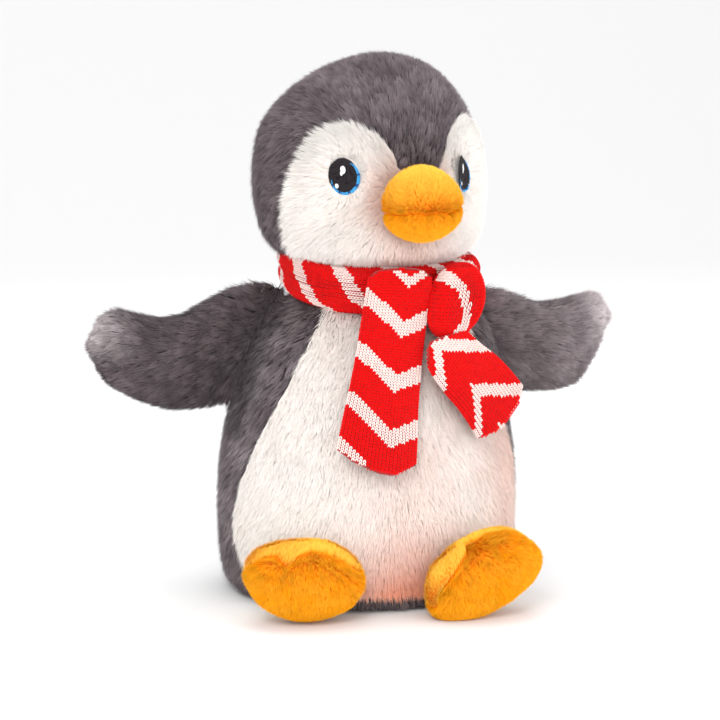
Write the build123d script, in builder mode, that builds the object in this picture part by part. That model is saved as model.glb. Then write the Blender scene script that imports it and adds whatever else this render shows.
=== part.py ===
from build123d import *
import os
from math import sin, cos, tan, radians, sqrt, pi

# Plush penguin sitting upright, facing -Y, +Z up. Millimetres.
# Origin: centre of the flat base panel, on the surface the toy sits on.
# "left" and "right" are the penguin's own: its right side is at -X.

# ---------------------------------------------------------------- dimensions
TOTAL_H = 199.0        # base to top of crown, pile not counted
SKIN_T = 1.3           # backed plush fabric
BASE_RX, BASE_RY = 44.5, 41.5   # flat patch the toy sits on

# torso outline: (z, half width, half depth, centre x, centre y)
TORSO = [
    (0.0, BASE_RX, BASE_RY, 0.0, 0.0),
    (2.5, 49.4, 46.0, 0.0, 0.0),
    (8.0, 52.2, 48.2, 0.0, -0.3),
    (19.0, 53.6, 49.7, 0.0, -0.8),
    (35.0, 54.0, 50.0, 0.0, -1.2),
    (52.0, 52.8, 48.4, 0.1, -1.6),
    (68.0, 50.0, 45.2, 0.4, -1.8),
    (82.0, 46.6, 41.4, 1.0, -1.9),
    (94.0, 42.2, 37.4, 1.8, -2.0),
    (102.0, 37.0, 33.0, 2.5, -2.0),
    (108.0, 30.4, 27.8, 3.0, -2.0),
    (112.0, 23.5, 22.0, 3.0, -2.0),
]
BELLY_SEAM = [         # right edge of the white belly panel, x and z; mirrored for the left
    (-21.0, 114.0), (-25.5, 106.0), (-30.5, 97.5), (-33.5, 88.0), (-37.0, 78.0),
    (-42.0, 67.0), (-46.0, 57.0), (-49.0, 46.0), (-50.8, 35.0), (-51.0, 26.0),
    (-49.0, 17.0), (-46.0, 9.0), (-43.0, 3.5),
]
BASE_SEAM_Z = 3.6      # height of the seam between base panel and side panels

# bean bag inside the base
BEAN_RX, BEAN_RY, BEAN_H = 34.0, 31.0, 22.0
BEAN_Z = 4.2

# neck ball
NECK = (3.0, -1.5, 121.0)
NECK_R = 13.5
NECK_GAP = 0.45

# head, in its own frame with the face towards -Y; turned by HEAD_YAW about the neck
HEAD_YAW = 6.0
HEAD_C = (1.6, -2.6)   # centre of the head in plan
# (z, size of the plan outline, forward shift)
HEAD_SECTIONS = [
    (120.0, 0.47, -4.0),
    (122.4, 0.69, -4.0),
    (126.8, 0.855, -3.6),
    (133.0, 0.945, -2.6),
    (142.0, 0.99, -1.5),
    (153.0, 1.0, -0.6),
    (164.0, 0.965, 0.4),
    (175.0, 0.875, 1.2),
    (185.0, 0.72, 1.8),
    (192.5, 0.525, 2.0),
    (197.0, 0.32, 2.0),
    (TOTAL_H, 0.13, 2.0),
]
HEAD_PLAN = [          # plan outline at full size: an egg with its point at the beak
    (0.0, -44.5), (12.0, -41.3), (23.5, -33.8), (33.5, -23.0), (40.8, -9.5),
    (43.4, 4.0), (40.5, 18.5), (32.0, 30.5), (18.0, 38.8), (0.0, 41.5),
    (-18.0, 38.8), (-32.0, 30.5), (-40.5, 18.5), (-43.4, 4.0),
    (-40.8, -9.5), (-33.5, -23.0), (-23.5, -33.8), (-12.0, -41.3),
]
FACE_SEAM = [          # edge of the white face panel on the right side, x and z in the head frame
    (0.0, 153.0), (-6.5, 155.5), (-8.0, 161.0), (-12.0, 167.5), (-17.5, 171.6),
    (-23.5, 173.2), (-29.5, 170.6), (-34.5, 164.5), (-37.8, 156.5), (-39.6, 148.0),
    (-39.8, 139.5), (-37.6, 132.0), (-33.5, 126.5), (-28.0, 122.0), (-22.0, 117.0),
]

# beak
BEAK_C = (0.0, -48.5, 145.0)
BEAK_R = (13.2, 15.5, 12.0)
BEAK_SEAM_Z = 143.2
BEAK_T = 1.2

# embroidered eyes
EYE_AZ = 47.0          # angle of the eye's face from the beak direction
EYE_POS = (22.0, -31.5, 154.5)
EYE_PUPIL = (5.1, 6.0)
EYE_IRIS = (6.0, 6.6)
THREAD_T = 0.7

# wings: hinge line lies in the side seam
WING_AXIS = {
    "right": ((-49.6, 1.0, 68.0), (-36.8, 1.0, 102.0)),
    "left": ((50.4, 1.0, 68.0), (40.4, 1.0, 102.0)),
}
WING_BEAD_R = 3.3
WING_GROOVE_R = 4.3
# right wing, as posed: (x, centre y, centre z, half thickness, half height)
WING_RIGHT = [
    (-42.0, 1.0, 91.0, 2.6, 19.5),
    (-50.0, 1.2, 90.6, 3.7, 20.8),
    (-57.0, 1.8, 88.6, 7.3, 20.2),
    (-65.0, 3.0, 86.0, 10.6, 18.2),
    (-74.0, 5.0, 84.9, 11.8, 16.6),
    (-83.0, 7.5, 87.0, 11.2, 16.0),
    (-90.5, 9.8, 90.0, 9.2, 13.4),
    (-95.5, 11.3, 91.6, 6.2, 9.0),
    (-98.5, 12.0, 92.2, 2.6, 3.8),
]
# left wing, its tip raised a little more
WING_LEFT = [
    (42.0, 1.0, 89.6, 2.6, 16.8),
    (50.0, 1.2, 90.2, 3.5, 19.2),
    (57.5, 1.8, 88.8, 7.0, 18.6),
    (65.5, 3.0, 87.0, 10.4, 17.0),
    (74.0, 5.0, 86.8, 11.8, 17.0),
    (83.0, 7.5, 88.4, 11.2, 16.6),
    (90.0, 9.8, 92.4, 9.2, 13.4),
    (94.5, 11.3, 96.0, 6.2, 8.8),
    (97.0, 12.0, 97.4, 2.6, 3.8),
]

# feet: oval pads, soles turned forward
FOOT_R = (20.8, 11.6, 14.4)          # half length, half thickness, half height
FOOT_RIGHT_C = (-35.6, -53.0, 15.2)
FOOT_RIGHT_TURN = (20.0, 8.0, 3.0)   # lean forward, yaw outwards, roll
FOOT_LEFT_C = (28.4, -55.0, 17.0)
FOOT_LEFT_TURN = (18.0, 12.0, 26.0)
FOOT_T = 1.2
FOOT_HINGE_RIGHT = (-34.5, -43.5, 6.5)
FOOT_HINGE_LEFT = (27.0, -46.0, 7.0)

# scarf: band round the neck, knot and two hanging tails
SCARF_C = (4.0, -2.0, 116.0)
SCARF_R = 30.8
SCARF_BAND = (6.4, 8.6)    # half thickness and half height of the gathered band
SCARF_TILT = 5.5           # front lower than back
KNOT_C = (24.0, -40.0, 109.5)
KNOT_R = (10.8, 6.8, 12.4)
KNOT_AZ = 30.0
TAIL_T = 3.2
# centre line and width of each tail
TAIL_FRONT = [((2.0, -42.3, 120.4), 23.5), ((1.2, -43.2, 113.0), 24.0), ((-0.2, -44.4, 103.0), 24.5), ((-2.4, -46.6, 91.0), 25.5), ((-5.2, -50.4, 78.0), 27.0), ((-8.0, -53.4, 66.0), 28.5), ((-10.0, -55.4, 56.8), 29.5)]
TAIL_FRONT_END = (29.5, 0.0, -7.0)
TAIL_SIDE = [((18.9, -48.0, 91.8), 21.5), ((24.0, -47.4, 86.6), 23.5), ((30.2, -45.8, 80.5), 25.5), ((39.2, -42.4, 69.2), 27.0)]
TAIL_SIDE_FACE = (0.40, -0.90, 0.15)
CLEAR = 0.6

# ---------------------------------------------------------------- helpers
def head_point(x, y, z=0.0):
    """A point of the head frame (origin at the head's plan centre) in the toy's frame."""
    a = radians(HEAD_YAW)
    return (HEAD_C[0] + x * cos(a) - y * sin(a), HEAD_C[1] + x * sin(a) + y * cos(a), z)


HEAD_X = Vector(cos(radians(HEAD_YAW)), sin(radians(HEAD_YAW)), 0)
HEAD_Y = Vector(-sin(radians(HEAD_YAW)), cos(radians(HEAD_YAW)), 0)


def sections_loft(rows):
    """Closed solid through horizontal ellipses given as (z, rx, ry, cx, cy)."""
    with BuildPart() as body:
        for z, rx, ry, cx, cy in rows:
            with BuildSketch(Plane(origin=(cx, cy, z), x_dir=(1, 0, 0), z_dir=(0, 0, 1))):
                Ellipse(rx, ry)
        loft()
    return body.part


def torso_solid(offset):
    """Torso outline moved in (negative) or out (positive) by offset; the base stays flat."""
    rows = []
    for i, (z, rx, ry, cx, cy) in enumerate(TORSO):
        zz = z
        if i == 0:
            zz = -offset
        if i == len(TORSO) - 1:
            zz = z + offset
        rows.append((zz, rx + offset, ry + offset, cx, cy))
    return sections_loft(rows)


def head_solid(offset):
    """Head outline moved by offset."""
    with BuildPart() as body:
        last = len(HEAD_SECTIONS) - 1
        for i, (z, s, shift) in enumerate(HEAD_SECTIONS):
            zz = z - offset if i == 0 else z + offset if i == last else z
            k = s + offset / 43.4
            o = head_point(0.0, shift, zz)
            with BuildSketch(Plane(origin=o, x_dir=tuple(HEAD_X), z_dir=(0, 0, 1))):
                with BuildLine():
                    Spline(*[(x * k, y * k) for x, y in HEAD_PLAN], periodic=True)
                make_face()
        loft()
    return body.part


def wing_solid(rows, offset):
    side = 1 if rows[0][0] > 0 else -1
    with BuildPart() as body:
        for i, (x, y, z, t, h) in enumerate(rows):
            xx = x + side * (offset if i == len(rows) - 1 else 0)
            with BuildSketch(Plane(origin=(xx, y, z), x_dir=(0, 1, 0), z_dir=(side, 0, 0))):
                Ellipse(max(t + offset, 0.8), h + offset)
        loft()
    return body.part


def axis_cylinder(low, high, radius, extra=0.0):
    lo, hi = Vector(*low), Vector(*high)
    d = (hi - lo).normalized()
    with BuildPart() as body:
        with BuildSketch(Plane(origin=lo - d * extra, z_dir=d)):
            Circle(radius)
        extrude(amount=(hi - lo).length + 2 * extra)
    return body.part


os.makedirs("parts", exist_ok=True)


def finish(builder, label):
    builder.part.label = label
    export_step(builder.part, f"parts/{label}.step")
    print(label, round(builder.part.volume / 1000, 3), "cm3", len(builder.part.solids()), "solid(s)")


# ---------------------------------------------------------------- torso forms
torso_outer = torso_solid(0.0)
torso_inner = torso_solid(-SKIN_T)
torso_core = torso_solid(-SKIN_T - 0.15)
torso_clear = torso_solid(CLEAR)

grooves = []
beads = {}
for name, (low, high) in WING_AXIS.items():
    grooves.append(axis_cylinder(low, high, WING_GROOVE_R, extra=2.5))
    beads[name] = axis_cylinder(low, high, WING_BEAD_R)

belly_outline = BELLY_SEAM + [(-x, z) for x, z in reversed(BELLY_SEAM)]
with BuildPart() as belly_block:
    with BuildSketch(Plane(origin=(0, 0, 0), x_dir=(1, 0, 0), z_dir=(0, -1, 0))):
        with BuildLine():
            Polyline(*belly_outline, close=True)
        make_face()
    extrude(amount=80)

with BuildPart() as base_slab:
    with Locations((0, 0, BASE_SEAM_Z / 2 - 5)):
        Box(200, 200, BASE_SEAM_Z + 10)

# belly panel: white plush front of the torso
with BuildPart() as belly_panel:
    add(torso_outer)
    add(torso_inner, mode=Mode.SUBTRACT)
    add(base_slab.part, mode=Mode.SUBTRACT)
    add(belly_block.part, mode=Mode.INTERSECT)

# base panel: grey plush underside with its rolled edge
with BuildPart() as base_panel:
    add(torso_outer)
    add(torso_inner, mode=Mode.SUBTRACT)
    add(base_slab.part, mode=Mode.INTERSECT)
finish(base_panel, "base_panel")

# grey plush back, two halves joined at the centre back seam
with BuildPart() as torso_back_right:
    add(torso_outer)
    add(torso_inner, mode=Mode.SUBTRACT)
    add(base_slab.part, mode=Mode.SUBTRACT)
    add(belly_block.part, mode=Mode.SUBTRACT)
    for g in grooves:
        add(g, mode=Mode.SUBTRACT)
    split(bisect_by=Plane.YZ, keep=Keep.BOTTOM)

with BuildPart() as torso_back_left:
    add(torso_outer)
    add(torso_inner, mode=Mode.SUBTRACT)
    add(base_slab.part, mode=Mode.SUBTRACT)
    add(belly_block.part, mode=Mode.SUBTRACT)
    for g in grooves:
        add(g, mode=Mode.SUBTRACT)
    split(bisect_by=Plane.YZ, keep=Keep.TOP)

# pouch of plastic pellets that weights the base
with BuildPart() as bean_bag:
    with BuildSketch(Plane.XY.offset(BEAN_Z)):
        Ellipse(BEAN_RX - 6, BEAN_RY - 6)
    with BuildSketch(Plane.XY.offset(BEAN_Z + 4)):
        Ellipse(BEAN_RX - 1, BEAN_RY - 1)
    with BuildSketch(Plane.XY.offset(BEAN_Z + BEAN_H / 2)):
        Ellipse(BEAN_RX, BEAN_RY)
    with BuildSketch(Plane.XY.offset(BEAN_Z + BEAN_H - 4)):
        Ellipse(BEAN_RX - 3, BEAN_RY - 3)
    with BuildSketch(Plane.XY.offset(BEAN_Z + BEAN_H)):
        Ellipse(BEAN_RX - 10, BEAN_RY - 10)
    loft()
finish(bean_bag, "bean_bag")

with BuildPart() as bean_pocket:
    with BuildSketch(Plane.XY.offset(BEAN_Z - 0.3)):
        Ellipse(BEAN_RX - 5.5, BEAN_RY - 5.5)
    with BuildSketch(Plane.XY.offset(BEAN_Z + 4)):
        Ellipse(BEAN_RX - 0.6, BEAN_RY - 0.6)
    with BuildSketch(Plane.XY.offset(BEAN_Z + BEAN_H / 2)):
        Ellipse(BEAN_RX + 0.4, BEAN_RY + 0.4)
    with BuildSketch(Plane.XY.offset(BEAN_Z + BEAN_H - 4)):
        Ellipse(BEAN_RX - 2.6, BEAN_RY - 2.6)
    with BuildSketch(Plane.XY.offset(BEAN_Z + BEAN_H + 0.3)):
        Ellipse(BEAN_RX - 9.6, BEAN_RY - 9.6)
    loft()

# fibre filling of the torso, with room for the pellets and a socket for the neck
with BuildPart() as neck_socket:
    with Locations(NECK):
        Sphere(NECK_R + NECK_GAP)

with BuildPart() as torso_stuffing:
    add(torso_core)
    add(bean_pocket.part, mode=Mode.SUBTRACT)
    add(neck_socket.part, mode=Mode.SUBTRACT)
    for g in grooves:
        add(g, mode=Mode.SUBTRACT)
finish(torso_stuffing, "torso_stuffing")

for name, panel in (("torso_back_left", torso_back_left), ("torso_back_right", torso_back_right), ("belly_panel", belly_panel)):
    with BuildPart() as trimmed:
        add(panel.part)
        add(neck_socket.part, mode=Mode.SUBTRACT)
    finish(trimmed, name)

# neck: a ball of filling between torso and head
with BuildPart() as neck_stuffing:
    with Locations(NECK):
        Sphere(NECK_R)
finish(neck_stuffing, "neck_stuffing")

# ---------------------------------------------------------------- head
head_outer = head_solid(0.0)
head_inner = head_solid(-SKIN_T)
head_core = head_solid(-SKIN_T - 0.15)

head_plane_origin = head_point(0, 0, 0)
face_outline = FACE_SEAM + [(-x, z) for x, z in reversed(FACE_SEAM)]
with BuildPart() as face_block:
    with BuildSketch(Plane(origin=head_point(0, -8, 0), x_dir=tuple(HEAD_X), z_dir=tuple(HEAD_Y * -1))):
        with BuildLine():
            Polyline(*face_outline, close=True)
        make_face()
    extrude(amount=80)

# plane through the head's middle, normal towards the penguin's left
head_mid = Plane(origin=head_point(0, 0, 150), x_dir=tuple(HEAD_Y), z_dir=tuple(HEAD_X))

for name, keep in (("right", Keep.BOTTOM), ("left", Keep.TOP)):
    with BuildPart() as crown:
        add(head_outer)
        add(head_inner, mode=Mode.SUBTRACT)
        add(face_block.part, mode=Mode.SUBTRACT)
        add(neck_socket.part, mode=Mode.SUBTRACT)
        split(bisect_by=head_mid, keep=keep)
    finish(crown, f"head_crown_{name}")
    with BuildPart() as face_panel:
        add(head_outer)
        add(head_inner, mode=Mode.SUBTRACT)
        add(face_block.part, mode=Mode.INTERSECT)
        add(neck_socket.part, mode=Mode.SUBTRACT)
        split(bisect_by=head_mid, keep=keep)
    finish(face_panel, f"face_panel_{name}")

with BuildPart() as head_stuffing:
    add(head_core)
    add(neck_socket.part, mode=Mode.SUBTRACT)
finish(head_stuffing, "head_stuffing")

# beak: two velour panels over a small filling, seated on the face
beak_centre = head_point(*BEAK_C)
beak_plane = Plane(origin=beak_centre, x_dir=tuple(HEAD_X), z_dir=(0, 0, 1))


def beak_solid(inset):
    """Egg with a blunt point forward, made of a revolved profile squeezed to width and height."""
    unit = Sphere(1.0, mode=Mode.PRIVATE)
    shaped = scale(unit, by=(BEAK_R[0] - inset, BEAK_R[1] - inset, BEAK_R[2] - inset), mode=Mode.PRIVATE)
    return shaped.moved(beak_plane.location)


beak_outer = beak_solid(0.0)
beak_inner = beak_solid(BEAK_T)
beak_core = beak_solid(BEAK_T + 0.15)
head_clear = head_solid(0.12)
beak_cut = Plane(origin=(0, 0, BEAK_SEAM_Z), z_dir=(0, 0, 1))

with BuildPart() as beak_upper_panel:
    add(beak_outer)
    add(beak_inner, mode=Mode.SUBTRACT)
    add(head_clear, mode=Mode.SUBTRACT)
    split(bisect_by=beak_cut, keep=Keep.TOP)
finish(beak_upper_panel, "beak_upper_panel")

with BuildPart() as beak_lower_panel:
    add(beak_outer)
    add(beak_inner, mode=Mode.SUBTRACT)
    add(head_clear, mode=Mode.SUBTRACT)
    split(bisect_by=beak_cut, keep=Keep.BOTTOM)
finish(beak_lower_panel, "beak_lower_panel")

with BuildPart() as beak_stuffing:
    add(beak_core)
    add(head_clear, mode=Mode.SUBTRACT)
finish(beak_stuffing, "beak_stuffing")

# embroidered eyes: a thin layer of thread that follows the cheek
thread_layer_out = head_solid(THREAD_T + 0.05)
thread_layer_in = head_solid(0.05)
for side, name in ((-1, "right"), (1, "left")):
    a = radians(EYE_AZ)
    n = HEAD_X * (side * sin(a)) + HEAD_Y * (-cos(a))
    t = Vector(0, 0, 1).cross(n)
    eye_origin = Vector(*head_point(side * EYE_POS[0], EYE_POS[1], EYE_POS[2])) - n * 9
    eye_plane = Plane(origin=eye_origin, x_dir=tuple(t), z_dir=tuple(n))
    with BuildPart() as pupil_post:
        with BuildSketch(eye_plane):
            Ellipse(EYE_PUPIL[0], EYE_PUPIL[1])
        extrude(amount=20)
    with BuildPart() as iris_post:
        with BuildSketch(eye_plane):
            Ellipse(EYE_IRIS[0], EYE_IRIS[1])
            with Locations((0, 0.5)):
                Ellipse(EYE_PUPIL[0] + 0.04, EYE_PUPIL[1] + 0.04, mode=Mode.SUBTRACT)
        extrude(amount=20)
    with BuildPart() as glint_post:
        with BuildSketch(eye_plane):
            with Locations((0.0, 2.2)):
                Ellipse(1.1, 1.6)
            with Locations((side * 1.7, -3.4)):
                Ellipse(0.8, 1.0)
        extrude(amount=20)
    with BuildPart() as pupil:
        add(thread_layer_out)
        add(thread_layer_in, mode=Mode.SUBTRACT)
        add(pupil_post.part.moved(Location((0, 0, 0.5))), mode=Mode.INTERSECT)
        add(glint_post.part.moved(Location((0, 0, 0.5))), mode=Mode.SUBTRACT)
    finish(pupil, f"eye_{name}_pupil")
    with BuildPart() as iris:
        add(thread_layer_out)
        add(thread_layer_in, mode=Mode.SUBTRACT)
        add(iris_post.part, mode=Mode.INTERSECT)
    finish(iris, f"eye_{name}_iris")
    with BuildPart() as glints:
        add(thread_layer_out)
        add(thread_layer_in, mode=Mode.SUBTRACT)
        add(glint_post.part.moved(Location((0, 0, 0.5))), mode=Mode.INTERSECT)
    finish(glints, f"eye_{name}_glints")

# ---------------------------------------------------------------- wings
wing_clear = torso_solid(1.2)
for rows, name in ((WING_RIGHT, "right"), (WING_LEFT, "left")):
    outer = wing_solid(rows, 0.0)
    inner = wing_solid(rows, -SKIN_T)
    core = wing_solid(rows, -SKIN_T - 0.15)
    mid = Plane(origin=(rows[0][0], 1.0, 90), x_dir=(0, 0, 1), z_dir=Vector(rows[-1][0] - rows[0][0], rows[-1][1] - 1.0, 0).cross(Vector(0, 0, 1)).normalized())
    if mid.z_dir.Y > 0:
        mid = Plane(origin=(rows[0][0], 1.0, 90), x_dir=(0, 0, 1), z_dir=tuple(mid.z_dir * -1))
    root_clear = axis_cylinder(*WING_AXIS[name], WING_BEAD_R + 0.1)
    with BuildPart() as front_panel:
        add(outer)
        add(inner, mode=Mode.SUBTRACT)
        add(wing_clear, mode=Mode.SUBTRACT)
        add(root_clear, mode=Mode.SUBTRACT)
        split(bisect_by=mid, keep=Keep.TOP)
    finish(front_panel, f"wing_{name}_front_panel")
    with BuildPart() as back_panel:
        add(outer)
        add(inner, mode=Mode.SUBTRACT)
        add(wing_clear, mode=Mode.SUBTRACT)
        add(root_clear, mode=Mode.SUBTRACT)
        split(bisect_by=mid, keep=Keep.BOTTOM)
    finish(back_panel, f"wing_{name}_back_panel")
    with BuildPart() as wing_stuffing:
        add(core)
        add(wing_clear, mode=Mode.SUBTRACT)
        add(beads[name])
    finish(wing_stuffing, f"wing_{name}_stuffing")

# ---------------------------------------------------------------- feet
def foot_solid(centre, turn, inset):
    unit = Sphere(1.0, mode=Mode.PRIVATE)
    pad = scale(unit, by=(FOOT_R[0] - inset, FOOT_R[1] - inset, FOOT_R[2] - inset), mode=Mode.PRIVATE)
    lean, yaw, roll = turn
    side = 1 if centre[0] > 0 else -1
    return (Pos(*centre) * Rot(0, 0, side * yaw) * Rot(lean, 0, 0) * Rot(0, -side * roll, 0)) * pad


foot_clear = torso_solid(1.5)
for centre, turn, name in ((FOOT_RIGHT_C, FOOT_RIGHT_TURN, "right"), (FOOT_LEFT_C, FOOT_LEFT_TURN, "left")):
    side = 1 if centre[0] > 0 else -1
    outer = foot_solid(centre, turn, 0.0)
    inner = foot_solid(centre, turn, FOOT_T)
    core = foot_solid(centre, turn, FOOT_T + 0.15)
    sole_plane = Plane(Pos(*centre) * Rot(0, 0, side * turn[1]) * Rot(turn[0], 0, 0) * Rot(90, 0, 0))
    with BuildPart() as floor_slab:
        with Locations((0, 0, -50)):
            Box(300, 300, 100)
    with BuildPart() as sole_panel:
        add(outer)
        add(inner, mode=Mode.SUBTRACT)
        add(foot_clear, mode=Mode.SUBTRACT)
        add(floor_slab.part, mode=Mode.SUBTRACT)
        split(bisect_by=sole_plane, keep=Keep.TOP)
    finish(sole_panel, f"foot_{name}_sole_panel")
    with BuildPart() as top_panel:
        add(outer)
        add(inner, mode=Mode.SUBTRACT)
        add(foot_clear, mode=Mode.SUBTRACT)
        add(floor_slab.part, mode=Mode.SUBTRACT)
        split(bisect_by=sole_plane, keep=Keep.BOTTOM)
    finish(top_panel, f"foot_{name}_top_panel")
    with BuildPart() as foot_stuffing:
        add(core)
        add(foot_clear, mode=Mode.SUBTRACT)
        add(floor_slab.part, mode=Mode.SUBTRACT)
    finish(foot_stuffing, f"foot_{name}_stuffing")

# ---------------------------------------------------------------- scarf
ring_n = Vector(0, -sin(radians(SCARF_TILT)), cos(radians(SCARF_TILT)))
ring_plane = Plane(origin=SCARF_C, x_dir=(1, 0, 0), z_dir=tuple(ring_n))


def scarf_ring(grow):
    with BuildPart() as ring:
        with BuildSketch(Plane(origin=SCARF_C, x_dir=(1, 0, 0), z_dir=tuple(ring_n.cross(Vector(1, 0, 0)) * -1))):
            with Locations((SCARF_R, 0)):
                Ellipse(SCARF_BAND[0] + grow, SCARF_BAND[1] + grow)
        revolve(axis=Axis(SCARF_C, tuple(ring_n)))
    return ring.part


# room swept by the underside of the head as it turns and nods on the neck
with BuildPart() as head_sweep:
    with BuildSketch(Plane(origin=(NECK[0], NECK[1], 0), x_dir=(1, 0, 0), z_dir=(0, -1, 0))):
        with BuildLine():
            Polyline((0, 117.0), (22, 117.0), (27, 117.5), (31.0, 118.4), (34.5, 119.8), (38.0, 122.4), (44, 128), (44, 132), (0, 132), close=True)
        make_face()
    revolve(axis=Axis((NECK[0], NECK[1], 0), (0, 0, 1)))

scarf_clear_torso = torso_solid(0.3)
with BuildPart() as scarf_loop:
    add(scarf_ring(0.0))
    add(scarf_clear_torso, mode=Mode.SUBTRACT)
    add(head_sweep.part, mode=Mode.SUBTRACT)
    add(neck_socket.part, mode=Mode.SUBTRACT)
finish(scarf_loop, "scarf_loop")

unit_ball = Sphere(1.0, mode=Mode.PRIVATE)
knot_ball = scale(unit_ball, by=KNOT_R, mode=Mode.PRIVATE)
with BuildPart() as scarf_knot:
    add(Pos(*KNOT_C) * Rot(0, 0, KNOT_AZ) * knot_ball)
    add(scarf_ring(0.15), mode=Mode.SUBTRACT)
    add(torso_clear, mode=Mode.SUBTRACT)
    add(head_sweep.part, mode=Mode.SUBTRACT)
finish(scarf_knot, "scarf_knot")


def tail_plate(line, face, end=None):
    """Flat knitted strip lofted through rounded rectangles across its centre line."""
    pts = [Vector(*p) for p, _ in line]
    with BuildPart() as strip:
        for i, (p, w) in enumerate(line):
            before, after = pts[max(i - 1, 0)], pts[min(i + 1, len(pts) - 1)]
            d = (after - before).normalized()
            across = Vector(*face).cross(d).normalized()
            if end is not None and i == len(line) - 1:
                across = Vector(*end).normalized() * (1 if Vector(*end).dot(across) > 0 else -1)
                d = (d - across * d.dot(across)).normalized()
            with BuildSketch(Plane(origin=p, x_dir=tuple(across), z_dir=tuple(d))):
                RectangleRounded(w, TAIL_T, TAIL_T * 0.42)
        loft()
    return strip.part


with BuildPart() as scarf_tail_front:
    add(tail_plate(TAIL_FRONT, (0, -1, 0), TAIL_FRONT_END))
finish(scarf_tail_front, "scarf_tail_front")

with BuildPart() as scarf_tail_side:
    add(tail_plate(TAIL_SIDE, TAIL_SIDE_FACE))
finish(scarf_tail_side, "scarf_tail_side")
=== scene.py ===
import bpy, math
import numpy as np
from mathutils import Vector, Matrix


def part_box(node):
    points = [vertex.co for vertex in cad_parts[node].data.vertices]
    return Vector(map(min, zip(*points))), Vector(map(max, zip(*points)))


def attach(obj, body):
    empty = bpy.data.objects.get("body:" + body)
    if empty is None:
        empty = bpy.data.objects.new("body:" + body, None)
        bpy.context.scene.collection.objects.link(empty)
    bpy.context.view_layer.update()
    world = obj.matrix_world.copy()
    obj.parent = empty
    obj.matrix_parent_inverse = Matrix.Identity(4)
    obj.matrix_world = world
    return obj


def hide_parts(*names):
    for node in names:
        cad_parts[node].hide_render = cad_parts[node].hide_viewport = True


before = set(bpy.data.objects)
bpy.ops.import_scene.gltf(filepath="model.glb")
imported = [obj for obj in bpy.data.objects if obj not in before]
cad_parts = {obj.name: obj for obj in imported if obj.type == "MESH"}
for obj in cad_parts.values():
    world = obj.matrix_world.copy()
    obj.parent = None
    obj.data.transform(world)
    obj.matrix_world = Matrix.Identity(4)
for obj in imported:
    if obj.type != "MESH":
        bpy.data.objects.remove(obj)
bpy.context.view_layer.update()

MM = 0.001
DENSITY = 1.0

# ------------------------------------------------------------------ camera
AZ, EL, DIST = math.radians(14.0), math.radians(8.0), 0.800
aim = Vector((-0.00215, 0.00054, 0.084))
look = Vector((math.sin(AZ) * math.cos(EL), math.cos(AZ) * math.cos(EL), -math.sin(EL)))
cam_data = bpy.data.cameras.new("Camera")
cam_data.lens = 108.0
cam_data.sensor_width = 36.0
cam_data.clip_start = 0.05
cam_data.clip_end = 30.0
cam = bpy.data.objects.new("Camera", cam_data)
bpy.context.scene.collection.objects.link(cam)
cam.location = aim - look * DIST
cam.rotation_euler = look.to_track_quat("-Z", "Y").to_euler()
bpy.context.scene.camera = cam
scn = bpy.context.scene
scn.view_settings.view_transform = "Standard"
scn.view_settings.look = "None"
scn.view_settings.exposure = 0.0
scn.view_settings.gamma = 1.0


# ------------------------------------------------------------------ numbers
def srgb(r, g, b):
    out = []
    for c in (r, g, b):
        c = c / 255.0
        out.append(c / 12.92 if c <= 0.04045 else ((c + 0.055) / 1.055) ** 2.4)
    return np.array(out)


def unit(v):
    return v / np.maximum(np.linalg.norm(v, axis=-1, keepdims=True), 1e-9)


def hash3(ix, iy, iz, seed):
    h = (ix * 374761393 + iy * 668265263 + iz * 2147483647 + seed * 974634777) & 0xFFFFFFFF
    h = ((h ^ (h >> 13)) * 1274126177) & 0xFFFFFFFF
    h = ((h ^ (h >> 16)) * 2246822519) & 0xFFFFFFFF
    return ((h ^ (h >> 15)) & 0xFFFFFF) / float(0xFFFFFF)


def vnoise(p, size, seed):
    """Smooth value noise from -1 to 1 at points p (mm), with cells of the given size."""
    q = p / size
    i = np.floor(q).astype(np.int64)
    f = q - i
    f = f * f * (3 - 2 * f)
    out = 0.0
    for dx in (0, 1):
        for dy in (0, 1):
            for dz in (0, 1):
                w = (f[:, 0] if dx else 1 - f[:, 0]) * (f[:, 1] if dy else 1 - f[:, 1]) * (f[:, 2] if dz else 1 - f[:, 2])
                out = out + w * hash3(i[:, 0] + dx, i[:, 1] + dy, i[:, 2] + dz, seed)
    return out * 2 - 1


def cluster(p, size, seed):
    """Nearest jittered lattice point to each point, and a random number that belongs to it."""
    q = p / size
    i = np.floor(q).astype(np.int64)
    best = np.full(len(p), 1e9)
    centre = np.zeros_like(p)
    tag = np.zeros(len(p))
    for dx in (-1, 0, 1):
        for dy in (-1, 0, 1):
            for dz in (-1, 0, 1):
                jx, jy, jz = i[:, 0] + dx, i[:, 1] + dy, i[:, 2] + dz
                c = np.stack([jx + hash3(jx, jy, jz, seed), jy + hash3(jx, jy, jz, seed + 1), jz + hash3(jx, jy, jz, seed + 2)], 1)
                d = ((c - q) ** 2).sum(1)
                m = d < best
                best[m] = d[m]
                centre[m] = c[m]
                tag[m] = hash3(jx, jy, jz, seed + 3)[m]
    return centre * size, tag


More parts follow.
